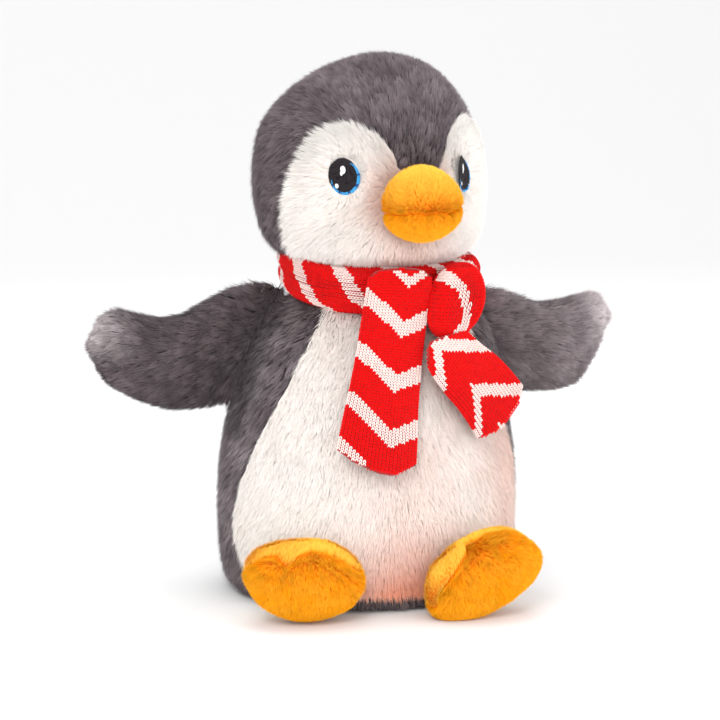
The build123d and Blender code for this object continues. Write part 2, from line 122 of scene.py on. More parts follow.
def spline_rows(rows, n, closed=False):
    """Centripetal-free Catmull-Rom through rows of numbers, n points evenly spread by chord length of the first columns."""
    r = np.array(rows, float)
    m = len(r)
    if closed:
        ext = np.vstack([r[-1], r, r[0], r[1]])
    else:
        ext = np.vstack([2 * r[0] - r[1], r, 2 * r[-1] - r[-2]])
    segs = m if closed else m - 1
    fine = []
    k = 24
    for s in range(segs):
        p0, p1, p2, p3 = ext[s], ext[s + 1], ext[s + 2], ext[s + 3]
        t = np.linspace(0, 1, k, endpoint=False)[:, None]
        fine.append(0.5 * ((2 * p1) + (-p0 + p2) * t + (2 * p0 - 5 * p1 + 4 * p2 - p3) * t ** 2 + (-p0 + 3 * p1 - 3 * p2 + p3) * t ** 3))
    fine = np.vstack(fine + [r[:1] if closed else r[-1:]])
    d = np.concatenate([[0], np.cumsum(np.linalg.norm(np.diff(fine[:, :2], axis=0), axis=1))])
    want = np.linspace(0, d[-1], n + (1 if closed else 0))
    if closed:
        want = want[:-1]
    return np.stack([np.interp(want, d, fine[:, c]) for c in range(r.shape[1])], 1)


def inside(poly, x, z):
    """Which points lie in a closed outline."""
    poly = np.array(poly, float)
    out = np.zeros(len(x), bool)
    x0, z0 = poly[-1]
    for x1, z1 in poly:
        cross = ((z1 > z) != (z0 > z)) & (x < (x0 - x1) * (z - z1) / (z0 - z1 + 1e-12) + x1)
        out ^= cross
        x0, z0 = x1, z1
    return out


def outline_distance(poly, x, z):
    """Distance from each point to the outline."""
    poly = np.array(poly, float)
    best = np.full(len(x), 1e9)
    a = poly
    b = np.roll(poly, -1, axis=0)
    for p, q in zip(a, b):
        d = q - p
        t = np.clip(((x - p[0]) * d[0] + (z - p[1]) * d[1]) / max((d ** 2).sum(), 1e-9), 0, 1)
        best = np.minimum(best, np.hypot(x - p[0] - t * d[0], z - p[1] - t * d[1]))
    return best


# ------------------------------------------------------------------ meshes
def new_mesh(name, verts, faces, smooth=True):
    """verts in mm."""
    me = bpy.data.meshes.new(name)
    me.from_pydata([tuple(v) for v in (np.asarray(verts) * MM).tolist()], [], [tuple(int(i) for i in f) for f in faces])
    me.validate()
    if smooth:
        me.polygons.foreach_set("use_smooth", [True] * len(me.polygons))
    me.update()
    ob = bpy.data.objects.new(name, me)
    bpy.context.scene.collection.objects.link(ob)
    return ob


def tube_faces(nu, nv, wrap_u=True):
    """Quads of an nv by nu grid, point index v*nu+u."""
    f = []
    for v in range(nv - 1):
        for u in range(nu if wrap_u else nu - 1):
            a, b = v * nu + u, v * nu + (u + 1) % nu
            f.append((a, b, b + nu, a + nu))
    return f


def panel(name, V, F, N, pick, thick, mat, body, node):
    """One sewn panel: the picked faces, given a thickness inwards and closed round the edge."""
    sel = [F[k] for k in np.nonzero(pick)[0]]
    used = sorted({i for f in sel for i in f})
    at = {o: k for k, o in enumerate(used)}
    n = len(used)
    out = V[used]
    inn = out - N[used] * thick
    faces = [tuple(at[i] for i in f) for f in sel]
    edges = {}
    for f in faces:
        for a, b in zip(f, f[1:] + f[:1]):
            edges[(a, b)] = 1
    rim = [(a, b) for a, b in edges if (b, a) not in edges]
    allf = faces + [tuple(i + n for i in reversed(f)) for f in faces] + [(b, a, a + n, b + n) for a, b in rim]
    ob = new_mesh(name, np.vstack([out, inn]), allf)
    ob.data.materials.append(mat)
    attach(ob, body)
    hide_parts(node)
    return ob


class Surf:
    """A grid of points P[v, u, 3] in mm, closed round u, with normals pointing outwards."""

    def __init__(self, P, flip=False):
        self.P = P
        self.nv, self.nu = P.shape[:2]
        du = np.roll(P, -1, 1) - np.roll(P, 1, 1)
        dv = np.empty_like(P)
        dv[1:-1] = P[2:] - P[:-2]
        dv[0] = P[1] - P[0]
        dv[-1] = P[-1] - P[-2]
        n = np.cross(du, dv)
        if flip:
            n = -n
        bad = np.linalg.norm(n, axis=2) < 1e-9
        self.N = unit(n)
        if bad[0].any():
            self.N[0] = unit(self.N[1].mean(0))
        if bad[-1].any():
            self.N[-1] = unit(self.N[-2].mean(0))
        self.flip = flip

    def mesh(self, name):
        nu, nv = self.nu, self.nv
        verts = [p for p in self.P.reshape(-1, 3)]
        faces = tube_faces(nu, nv)
        first, last = 0, (nv - 1) * nu
        closed_lo = np.ptp(self.P[0], axis=0).max() < 1e-6
        closed_hi = np.ptp(self.P[-1], axis=0).max() < 1e-6
        V = np.array(verts)
        keep = np.arange(len(V))
        if closed_lo:
            keep[:nu] = 0
        if closed_hi:
            keep[last:] = last
        extra = []
        if not closed_lo:
            V = np.vstack([V, self.P[0].mean(0)])
            c = len(V) - 1
            extra += [((u + 1) % nu, u, c) for u in range(nu)]
        if not closed_hi:
            V = np.vstack([V, self.P[-1].mean(0)])
            c = len(V) - 1
            extra += [(last + u, last + (u + 1) % nu, c) for u in range(nu)]
        out = []
        for f in faces:
            g = []
            for i in f:
                j = int(keep[i])
                if not g or g[-1] != j:
                    g.append(j)
            if g[0] == g[-1]:
                g = g[:-1]
            if len(g) >= 3:
                out.append(tuple(g))
        out += extra
        if self.flip:
            out = [tuple(reversed(f)) for f in out]
        used = sorted({i for f in out for i in f})
        remap = {o: k for k, o in enumerate(used)}
        V = V[used]
        out = [tuple(remap[i] for i in f) for f in out]
        return new_mesh(name, V, out)

    def arrays(self):
        """Points, faces and point normals with the poles closed."""
        ob = self.mesh("work")
        me = ob.data
        V = np.array([v.co for v in me.vertices]) / MM
        N = np.array([v.normal for v in me.vertices])
        F = [tuple(p.vertices) for p in me.polygons]
        bpy.data.objects.remove(ob)
        bpy.data.meshes.remove(me)
        return V, F, N

    def scatter(self, count, rng, weight=None):
        """Random roots spread by area: points and normals."""
        P = self.P
        Pn = np.concatenate([P, P[:, :1]], 1)
        Nn = np.concatenate([self.N, self.N[:, :1]], 1)
        a = np.linalg.norm(np.cross(Pn[1:, 1:] - Pn[:-1, :-1], Pn[1:, :-1] - Pn[:-1, 1:]), axis=2) / 2
        w = a.copy()
        if weight is not None:
            c = (Pn[1:, 1:] + Pn[:-1, :-1] + Pn[1:, :-1] + Pn[:-1, 1:]) / 4
            w = w * weight(c.reshape(-1, 3)).reshape(a.shape)
        cdf = np.cumsum(w.ravel())
        pick = np.searchsorted(cdf, rng.random(count) * cdf[-1])
        pick = np.minimum(pick, w.size - 1)
        v, u = np.divmod(pick, w.shape[1])
        s, t = rng.random((2, count))
        s, t = s[:, None], t[:, None]
        q = Pn[v, u] * (1 - s) * (1 - t) + Pn[v, u + 1] * s * (1 - t) + Pn[v + 1, u] * (1 - s) * t + Pn[v + 1, u + 1] * s * t
        n = Nn[v, u] * (1 - s) * (1 - t) + Nn[v, u + 1] * s * (1 - t) + Nn[v + 1, u] * (1 - s) * t + Nn[v + 1, u + 1] * s * t
        return q, unit(n), float(w.sum())


# ------------------------------------------------------------------ materials
def principled(name, colour, rough=0.8, sheen=0.0, sheen_rough=0.5, sheen_tint=(1, 1, 1), spec=0.2):
    m = bpy.data.materials.new(name)
    m.use_nodes = True
    nt = m.node_tree
    b = nt.nodes["Principled BSDF"]
    b.inputs["Base Color"].default_value = (*colour, 1)
    b.inputs["Roughness"].default_value = rough
    b.inputs["Specular IOR Level"].default_value = spec
    b.inputs["Sheen Weight"].default_value = sheen
    b.inputs["Sheen Roughness"].default_value = sheen_rough
    b.inputs["Sheen Tint"].default_value = (*sheen_tint, 1)
    return m, nt, b


def cloth_material(name, low, high, scale, rough=0.85, bump=0.3, sheen=0.2, dist=0.0003):
    """Backing or filling: mottled colour with a fine fibre bump."""
    m, nt, b = principled(name, low, rough, sheen)
    tc = nt.nodes.new("ShaderNodeTexCoord")
    no = nt.nodes.new("ShaderNodeTexNoise")
    no.inputs["Scale"].default_value = scale
    no.inputs["Detail"].default_value = 6.0
    no.inputs["Roughness"].default_value = 0.65
    ramp = nt.nodes.new("ShaderNodeValToRGB")
    ramp.color_ramp.elements[0].position = 0.3
    ramp.color_ramp.elements[0].color = (*low, 1)
    ramp.color_ramp.elements[1].position = 0.7
    ramp.color_ramp.elements[1].color = (*high, 1)
    bu = nt.nodes.new("ShaderNodeBump")
    bu.inputs["Strength"].default_value = bump
    bu.inputs["Distance"].default_value = dist
    nt.links.new(tc.outputs["Object"], no.inputs["Vector"])
    nt.links.new(no.outputs["Fac"], ramp.inputs["Fac"])
    nt.links.new(ramp.outputs["Color"], b.inputs["Base Color"])
    nt.links.new(no.outputs["Fac"], bu.inputs["Height"])
    nt.links.new(bu.outputs["Normal"], b.inputs["Normal"])
    return m


def pile_material(name, rough=0.7, sheen=0.25, sheen_rough=0.4, sheen_tint=(1, 1, 1), spec=0.25):
    """Pile: colour from each strand, dark at the root and pale at the tip, with a fine grain along it."""
    m, nt, b = principled(name, (0.5, 0.5, 0.5), rough, sheen, sheen_rough, sheen_tint, spec)
    at = nt.nodes.new("ShaderNodeAttribute")
    at.attribute_name = "Col"
    uv = nt.nodes.new("ShaderNodeUVMap")
    uv.uv_map = "OFBake"
    no = nt.nodes.new("ShaderNodeTexNoise")
    no.inputs["Scale"].default_value = 160.0
    no.inputs["Detail"].default_value = 2.0
    mr = nt.nodes.new("ShaderNodeMapRange")
    mr.inputs["From Min"].default_value = 0.3
    mr.inputs["From Max"].default_value = 0.7
    mr.inputs["To Min"].default_value = 0.94
    mr.inputs["To Max"].default_value = 1.06
    mx = nt.nodes.new("ShaderNodeVectorMath")
    mx.operation = "SCALE"
    nt.links.new(uv.outputs["UV"], no.inputs["Vector"])
    nt.links.new(no.outputs["Fac"], mr.inputs["Value"])
    nt.links.new(at.outputs["Color"], mx.inputs[0])
    nt.links.new(mr.outputs["Result"], mx.inputs["Scale"])
    nt.links.new(mx.outputs["Vector"], b.inputs["Base Color"])
    return m


LEVELS = 32


def pile(name, body, mat, roots, nrm, comb, length, width, lean, rng, dark, light, alt, light_amount, alt_amount,
         clump=0.5, clump_size=2.4, seed=1, curl=0.25, floor=None, sink=0.4, tufts=0.5, spread=(0.76, 1.2), sway=1.0):
    """Tapered strands, three triangles each, that rise from the roots and lie over along comb.
    dark, light and alt are colours: root, tip, and the tip's other tint. light_amount scales the tip, 0 to 1; alt_amount mixes to alt, 0 to 1."""
    n = len(roots)
    comb = comb - nrm * (comb * nrm).sum(1, keepdims=True)
    comb = unit(comb)
    side = np.cross(nrm, comb)
    wob = (vnoise(roots, 9.0, seed + 11)[:, None] * 0.35 + rng.normal(0, 0.16, (n, 1))) * sway
    comb = unit(comb + side * wob)
    side = np.cross(nrm, comb)
    L = (length * (1 + np.clip(rng.normal(0, 0.10, n), -0.3, 0.16)))[:, None]
    a0 = np.radians(lean * 0.45 + rng.normal(0, 6, n))[:, None]
    a1 = np.radians(lean * 1.12 + rng.normal(0, 7, n))[:, None]
    d0 = nrm * np.cos(a0) + comb * np.sin(a0)
    d1 = nrm * np.cos(a1) + comb * np.sin(a1)
    r = roots - nrm * sink
    mid = r + d0 * L * 0.48
    tip = mid + d1 * L * 0.55
    if clump > 0:
        c, tag = cluster(roots, clump_size, seed + 21)
        c2, tag2 = cluster(roots, clump_size * 2.7, seed + 31)
        off = c - roots
        off = off - nrm * (off * nrm).sum(1, keepdims=True)
        off2 = c2 - roots
        off2 = off2 - nrm * (off2 * nrm).sum(1, keepdims=True)
        tip = tip + off * clump + off2 * clump * 0.35
        mid = mid + off * clump * 0.45
        tone = 0.6 * tag + 0.4 * tag2
    else:
        tone = rng.random(n)
    d = unit(tip - r)
    s = unit(np.cross(d, nrm))
    roll = rng.normal(0, curl, n)[:, None]
    s = unit(s + nrm * np.sin(roll))
    W = (width * (1 + rng.normal(0, 0.15, n)))[:, None]
    V = np.empty((n, 5, 3))
    V[:, 0] = r - s * W * 0.5
    V[:, 1] = r + s * W * 0.5
    V[:, 2] = mid - s * W * 0.42
    V[:, 3] = mid + s * W * 0.42
    V[:, 4] = tip
    if floor is not None:
        V[..., 2] = np.maximum(V[..., 2], floor)
    V = V.reshape(-1, 3) * MM
    base = np.arange(n)[:, None] * 5
    F = np.concatenate([base + np.array([0, 1, 3]), base + np.array([0, 3, 2]), base + np.array([2, 3, 4])], 1).reshape(-1).astype(np.int32)
    me = bpy.data.meshes.new(name)
    me.vertices.add(n * 5)
    me.vertices.foreach_set("co", V.astype(np.float32).ravel())
    me.loops.add(n * 9)
    me.loops.foreach_set("vertex_index", F)
    me.polygons.add(n * 3)
    me.polygons.foreach_set("loop_start", np.arange(n * 3, dtype=np.int32) * 3)
    me.polygons.foreach_set("use_smooth", np.ones(n * 3, bool))
    me.update(calc_edges=True)
    # tones on a LEVELS by LEVELS table, the same for the colour and for its place in the map
    la = np.clip(light_amount + (tone - 0.5) * tufts + rng.normal(0, 0.10, n), 0, 1)
    li = np.floor(la * (LEVELS - 1) + 0.5).astype(int)
    ai = np.floor(np.clip(alt_amount + rng.normal(0, 0.05, n), 0, 1) * (LEVELS - 1) + 0.5).astype(int)
    lv, av = (li / (LEVELS - 1))[:, None], (ai / (LEVELS - 1))[:, None]
    tipc = (light * (1 - av) + alt * av) * (spread[0] + (spread[1] - spread[0]) * lv)
    # the root colour is darker than the tip: painted shade deep in the pile
    rootc = dark * (1 - av) + dark * (alt / np.maximum(light, 1e-3)) * av
    rootc = rootc * (0.8 + 0.4 * lv)
    along = np.array([0.0, 0.0, 0.55, 0.55, 1.0])
    C = np.ones((n, 5, 4), np.float32)
    C[..., :3] = rootc[:, None] * (1 - along[None, :, None]) + tipc[:, None] * along[None, :, None]
    ca = me.color_attributes.new(name="Col", type="FLOAT_COLOR", domain="POINT")
    ca.data.foreach_set("color", C.reshape(-1))
    uvl = me.uv_layers.new(name="OFBake")
    cell = 1.0 / LEVELS
    across = np.array([0.12, 0.88, 0.16, 0.84, 0.5]) * cell
    upv = (0.1 + 0.8 * along) * cell
    U = li[:, None] * cell + across[None]
    Vv = ai[:, None] * cell + upv[None]
    UV = np.stack([U, Vv], 2).reshape(-1, 2)[F]
    uvl.data.foreach_set("uv", UV.astype(np.float32).ravel())
    me.materials.append(mat)
    ob = bpy.data.objects.new(name, me)
    bpy.context.scene.collection.objects.link(ob)
    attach(ob, body)
    return ob


# ------------------------------------------------------------------ shapes (mm), as in the CAD
TORSO = [
    (0.0, 44.5, 41.5, 0.0, 0.0), (2.5, 49.4, 46.0, 0.0, 0.0), (8.0, 52.2, 48.2, 0.0, -0.3), (19.0, 53.6, 49.7, 0.0, -0.8),
    (35.0, 54.0, 50.0, 0.0, -1.2), (52.0, 52.8, 48.4, 0.1, -1.6), (68.0, 50.0, 45.2, 0.4, -1.8), (82.0, 46.6, 41.4, 1.0, -1.9),
    (94.0, 42.2, 37.4, 1.8, -2.0), (102.0, 37.0, 33.0, 2.5, -2.0), (108.0, 30.4, 27.8, 3.0, -2.0), (112.0, 23.5, 22.0, 3.0, -2.0),
]
BELLY_SEAM = [
    (-21.0, 114.0), (-25.5, 106.0), (-30.5, 97.5), (-33.5, 88.0), (-37.0, 78.0), (-42.0, 67.0), (-46.0, 57.0), (-49.0, 46.0),
    (-50.8, 35.0), (-51.0, 26.0), (-49.0, 17.0), (-46.0, 9.0), (-43.0, 3.5),
]
HEAD_YAW = math.radians(6.0)
HEAD_C = (1.6, -2.6)
HEAD_SECTIONS = [
    (120.0, 0.47, -4.0), (122.4, 0.69, -4.0), (126.8, 0.855, -3.6), (133.0, 0.945, -2.6), (142.0, 0.99, -1.5), (153.0, 1.0, -0.6),
    (164.0, 0.965, 0.4), (175.0, 0.875, 1.2), (185.0, 0.72, 1.8), (192.5, 0.525, 2.0), (197.0, 0.32, 2.0), (199.0, 0.13, 2.0),
]
HEAD_PLAN = [
    (0.0, -44.5), (12.0, -41.3), (23.5, -33.8), (33.5, -23.0), (40.8, -9.5), (43.4, 4.0), (40.5, 18.5), (32.0, 30.5), (18.0, 38.8),
    (0.0, 41.5), (-18.0, 38.8), (-32.0, 30.5), (-40.5, 18.5), (-43.4, 4.0), (-40.8, -9.5), (-33.5, -23.0), (-23.5, -33.8), (-12.0, -41.3),
]
FACE_SEAM = [
    (0.0, 153.0), (-6.5, 155.5), (-8.0, 161.0), (-12.0, 167.5), (-17.5, 171.6), (-23.5, 173.2), (-29.5, 170.6), (-34.5, 164.5),
    (-37.8, 156.5), (-39.6, 148.0), (-39.8, 139.5), (-37.6, 132.0), (-33.5, 126.5), (-28.0, 122.0), (-22.0, 117.0),
]
# the white pile spreads over the joins, so it grows from a little inside them; the two cheeks are not quite alike
FACE_NEAR = [
    (0.0, 153.0), (-5.0, 155.5), (-6.3, 161.0), (-10.4, 166.4), (-16.4, 169.6), (-22.3, 170.4), (-27.3, 167.6), (-31.2, 162.0),
    (-34.0, 154.5), (-35.6, 147.0), (-36.0, 139.0), (-34.8, 131.5), (-32.0, 126.0), (-28.0, 122.0), (-22.0, 117.0),
]
FACE_FAR = [
    (0.0, 153.0), (9.0, 155.0), (12.3, 160.5), (15.2, 167.0), (19.6, 171.4), (25.0, 173.0), (31.0, 170.6), (35.6, 164.5),
    (38.2, 156.5), (39.8, 148.0), (39.8, 139.5), (37.6, 132.0), (33.5, 126.5), (28.0, 122.0), (22.0, 117.0),
]
FACE_OUTLINE = FACE_NEAR + FACE_FAR[::-1]
BELLY_NEAR = [(-15.5, 114.0), (-19.5, 106.0), (-25.0, 97.5), (-30.5, 88.0), (-35.6, 78.0), (-41.0, 67.0), (-45.4, 57.0)] + BELLY_SEAM[7:]
BELLY_OUTLINE = BELLY_NEAR + [(-x, z) for x, z in reversed(BELLY_SEAM)]
NECK = np.array([3.0, -1.5, 121.0])
BEAK_C, BEAK_R, BEAK_SEAM_Z = (0.0, -48.5, 145.0), (13.2, 15.5, 12.0), 143.2
EYE_AZ, EYE_POS = {-1: math.radians(43.0), 1: math.radians(58.0)}, (22.0, -31.5, 154.0)
# (x, y, z, half thickness, half height), a little fuller at the tip for the pile
WING_RIGHT = [
    (-42.0, 1.0, 91.0, 2.6, 19.5), (-50.0, 1.2, 91.6, 3.7, 21.8), (-57.0, 1.8, 89.0, 7.3, 20.6), (-65.0, 3.0, 86.0, 10.6, 18.2),
    (-74.0, 5.0, 84.9, 11.8, 16.6), (-83.0, 7.5, 87.0, 11.2, 16.0), (-90.5, 9.8, 89.6, 9.6, 15.4), (-95.5, 11.3, 90.6, 7.8, 12.6), (-98.4, 12.0, 91.4, 4.8, 8.0),
]
WING_LEFT = [
    (42.0, 1.0, 89.6, 2.6, 16.8), (50.0, 1.2, 90.2, 3.5, 19.2), (57.5, 1.8, 88.8, 7.0, 18.6), (65.5, 3.0, 87.0, 10.4, 17.0),
    (74.0, 5.0, 86.8, 11.8, 17.0), (83.0, 7.5, 88.4, 11.2, 16.6), (90.0, 9.8, 92.4, 9.4, 14.0), (94.5, 11.3, 95.2, 7.2, 10.4), (96.8, 12.0, 96.4, 4.2, 6.2),
]
HX = np.array([math.cos(HEAD_YAW), math.sin(HEAD_YAW), 0.0])
HY = np.array([-math.sin(HEAD_YAW), math.cos(HEAD_YAW), 0.0])
HO = np.array([HEAD_C[0], HEAD_C[1], 0.0])
UP = np.array([0.0, 0.0, 1.0])


def to_head(p):
    q = p - HO
    return np.stack([q @ HX, q @ HY, q[..., 2]], -1)


def from_head(x, y, z):
    return HO + np.multiply.outer(x, HX) + np.multiply.outer(y, HY) + np.multiply.outer(z, UP)


def inset_grid(P, depth):
    """The same grid, moved inwards along its normals. depth is a number or one for each point."""
    s = outward(P)
    d = np.asarray(depth)
    return P - s.N * (d[..., None] if d.ndim else d)


def outward(P):
    s = Surf(P)
    k = P.shape[0] // 2
    if (s.N[k] * (P[k] - P[k].mean(0))).sum(1).mean() < 0:
        s = Surf(P, flip=True)
    return s


def torso_grid(nu=220, nv=170):
    prof = [(rx, z, ry, cx, cy) for z, rx, ry, cx, cy in TORSO]
    prof = [(0.001, 0.0, 0.001, 0, 0), (25, 0.0, 23.3, 0, 0)] + prof + [(12.0, 114.0, 11.5, 3, -2), (0.001, 114.8, 0.001, 3, -2)]
    r = spline_rows(prof, nv)
    r[:, 0] = np.maximum(r[:, 0], 0)
    r[:, 2] = np.maximum(r[:, 2], 0)
    r[0, [0, 2]] = 0
    r[-1, [0, 2]] = 0
    th = np.linspace(0, 2 * math.pi, nu, endpoint=False)
    P = np.empty((nv, nu, 3))
    P[..., 0] = r[:, 3:4] + r[:, 0:1] * np.sin(th)
    P[..., 1] = r[:, 4:5] - r[:, 2:3] * np.cos(th)
    P[..., 2] = r[:, 1:2]
    return P


def head_grid(nu=240, nv=170):
    prof = [(s * 43.4, z, sh) for z, s, sh in HEAD_SECTIONS]
    prof = [(0.001, 119.2, -4.0), (10.0, 119.4, -4.0)] + prof + [(0.001, 199.4, 2.0)]
    r = spline_rows(prof, nv)
    r[0, 0] = 0
    r[-1, 0] = 0
    plan = spline_rows(HEAD_PLAN, nu, closed=True) / 43.4
    P = np.empty((nv, nu, 3))
    for v in range(nv):
        x = plan[:, 0] * max(r[v, 0], 0)
        y = plan[:, 1] * max(r[v, 0], 0) + r[v, 2]
        P[v] = from_head(x, y, np.full(nu, r[v, 1]))
    return P


def wing_grid(rows, nu=96, nv=90):
    side = 1 if rows[0][0] > 0 else -1
    # (x, height, thickness, y, z)
    prof = [(abs(x), h, t, y, z) for x, y, z, t, h in rows]
    prof.append((prof[-1][0] + 1.2, 0.001, 0.001, prof[-1][3], prof[-1][4]))
    prof.insert(0, (prof[0][0] - 0.5, 0.001, 0.001, prof[0][3], prof[0][4]))
    r = spline_rows(prof, nv)
    th = np.linspace(0, 2 * math.pi, nu, endpoint=False)
    P = np.empty((nv, nu, 3))
    h, t = np.maximum(r[:, 1:2], 0), np.maximum(r[:, 2:3], 0)
    h[0] = t[0] = h[-1] = t[-1] = 0
    ex = 0.92
    c, s = np.cos(th), np.sin(th)
    P[..., 0] = side * r[:, 0:1]
    P[..., 1] = r[:, 3:4] - t * np.sign(c) * np.abs(c) ** ex
    P[..., 2] = r[:, 4:5] + h * np.sign(s) * np.abs(s) ** ex
    # the root follows the slant of the body's side
    ax = np.abs(P[..., 0])
    w = np.clip((62 - ax) / 20, 0, 1)
    w = w * w * (3 - 2 * w)
    rootx = np.interp(P[..., 2], [66, 85, 100, 113], [49.0, 43.5, 36.5, 29.0] if side < 0 else [49.5, 44.5, 39.0, 33.0])
    P[..., 0] = side * (ax + (rootx - 42.0) * w)
    P[..., 1] = r[:, 3:4] + (P[..., 1] - r[:, 3:4]) * (1 + 1.1 * w * np.clip(1 - np.abs(P[..., 2] - 88) / 60, 0, 1))
    return P


def ellipsoid_grid(c, R, axes, nu=96, nv=64, power=2.0):
    """axes: rows are the local x, y, z directions; poles on local x."""
    ph = np.linspace(0, math.pi, nv)
    th = np.linspace(0, 2 * math.pi, nu, endpoint=False)
    e = 2.0 / power
    cp, sp = np.cos(ph)[:, None], np.sin(ph)[:, None]
    ct, st = np.cos(th)[None], np.sin(th)[None]
    f = lambda a: np.sign(a) * np.abs(a) ** e
    x = f(cp) * np.ones_like(ct)
    y = f(sp) * f(ct)
    z = f(sp) * f(st)
    x[0], x[-1] = 1, -1
    for a in (y, z):
        a[0] = 0
        a[-1] = 0
    return c + (x * R[0])[..., None] * axes[0] + (y * R[1])[..., None] * axes[1] + (z * R[2])[..., None] * axes[2], np.stack([x, y, z], -1)


# ------------------------------------------------------------------ studio
def area(name, loc, target, size, power, colour=(1, 1, 1)):
    ld = bpy.data.lights.new(name, "AREA")
    ld.shape = "RECTANGLE"
    ld.size, ld.size_y = size
    ld.energy = power
    ld.color = colour
    ob = bpy.data.objects.new(name, ld)
    bpy.context.scene.collection.objects.link(ob)
    ob.location = loc
    ob.rotation_euler = (Vector(target) - Vector(loc)).to_track_quat("-Z", "Y").to_euler()
    return ob


rows = [(-4.0, 0.0), (1.2, 0.0)] + [(1.2 + 1.2 * math.sin(t), 1.2 - 1.2 * math.cos(t)) for t in np.linspace(0.08, math.pi / 2, 18)] + [(2.4, 4.0)]
fv = [(x, y, z) for y, z in rows for x in (-5.0, 5.0)]
floor_me = bpy.data.meshes.new("studio_floor")
floor_me.from_pydata(fv, [], [(2 * i, 2 * i + 1, 2 * i + 3, 2 * i + 2) for i in range(len(rows) - 1)])
floor_me.polygons.foreach_set("use_smooth", [True] * len(floor_me.polygons))
floor = bpy.data.objects.new("studio_floor", floor_me)
bpy.context.scene.collection.objects.link(floor)
fm, fnt, fb = principled("studio_floor", (0.94, 0.94, 0.94), 0.95, spec=0.0)
floor_me.materials.append(fm)

world = bpy.data.worlds.new("studio")
scn.world = world
world.use_nodes = True
bg = world.node_tree.nodes["Background"]
bg.inputs["Color"].default_value = (1.0, 1.0, 1.0, 1)
bg.inputs["Strength"].default_value = 0.92
area("key", (-0.50, -0.95, 0.85), (0, 0, 0.1), (0.55, 0.5), 5.4)
area("front", (0.10, -1.15, 0.22), (0, 0, 0.06), (0.8, 0.3), 2.4)
area("fill", (0.95, -0.75, 0.45), (0, 0, 0.1), (0.8, 0.8), 2.2)
area("top", (0.0, 0.15, 1.1), (0, 0, 0.1), (0.8, 0.8), 3.6)

# ------------------------------------------------------------------ palette
# the *_DARK colours go to the roots of the pile; being much darker than the tips, they paint the shade deep between the
# strands
GREY_DARK, GREY_TIP, GREY_PALE = srgb(50, 41, 45), srgb(128, 116, 120), srgb(206, 196, 198)
# the third colour here is a peach tint for the white pile: painted reflected light from the orange beak and feet and
# the red scarf
WHITE_DARK, WHITE_TIP, PAINTED_WARM_BOUNCE = srgb(246, 238, 231), srgb(255, 253, 249), srgb(232, 160, 132)
# the third orange is the paler tip tint that paints the light from above on the tops of the feet and the upper beak
ORANGE_DARK, ORANGE_TIP, ORANGE_PAINTED_TOPLIGHT = srgb(252, 138, 0), srgb(255, 174, 0), srgb(255, 216, 92)

m_grey_back = cloth_material("plush_grey_backing", srgb(60, 52, 56), srgb(84, 75, 79), 900)
m_white_back = cloth_material("plush_white_backing", srgb(238, 230, 224), srgb(250, 244, 240), 900)
m_orange_back = cloth_material("velour_orange_backing", srgb(236, 120, 4), srgb(250, 148, 10), 1100)
m_fill = cloth_material("fibre_filling", srgb(214, 212, 208), srgb(240, 239, 236), 400)
m_pouch = cloth_material("pellet_pouch_weave", srgb(198, 194, 186), srgb(226, 222, 214), 1500)
m_grey = pile_material("plush_grey_pile", 0.8, 0.08, 0.5, (0.95, 0.92, 0.93), spec=0.15)
m_white = pile_material("plush_white_pile", 0.85, 0.2, 0.5, (1.0, 0.98, 0.96), spec=0.1)
m_orange = pile_material("velour_orange_pile", 0.9, 0.06, 0.5, (1.0, 0.50, 0.0), spec=0.0)



def filling(name, P, depth, body, node, seed, mat=None, lump=0.6, zmin=None, zmax=None):
    """The stuffing inside a skin: the skin's form, smaller and lumpy."""
    step = 4 if P.shape[0] > 60 else 1
    base = P[::step, ::step]
    if (P.shape[0] - 1) % step:
        base = np.concatenate([base, P[-1:, ::step]])
    lim = np.linalg.norm(base - base.mean(1, keepdims=True), axis=2) * 0.8
    depth = np.asarray(depth) * np.ones(P.shape[:2])
    dd = depth[::step, ::step]
    if (P.shape[0] - 1) % step:
        dd = np.concatenate([dd, depth[-1:, ::step]])
    used = np.minimum(dd, np.maximum(lim, 0))
    # where the form is too thin to shrink further, it draws back towards its middle
    Q = inset_grid(base, used) + unit(base.reshape(-1, 3).mean(0) - base) * (dd - used)[..., None]
    for k in (0, -1):
        if np.ptp(base[k], axis=0).max() < 1e-6:
            Q[k] = Q[k].mean(0)
    n = vnoise(Q.reshape(-1, 3), 6.0, seed).reshape(Q.shape[:2])
    s = outward(Q)
    Q = Q + s.N * (n * lump)[..., None]
    for k in (0, -1):
        if np.ptp(base[k], axis=0).max() < 1e-6:
            Q[k] = Q[k].mean(0)
    if zmin is not None:
        Q[..., 2] = np.maximum(Q[..., 2], zmin)
    if zmax is not None:
        top = Q[..., 2] > zmax
        Q[..., 2] = np.where(top, zmax + (Q[..., 2] - zmax) * 0.12, Q[..., 2])
    ob = outward(Q).mesh(name)
    ob.data.materials.append(mat or m_fill)
    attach(ob, body)
    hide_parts(node)
    return ob

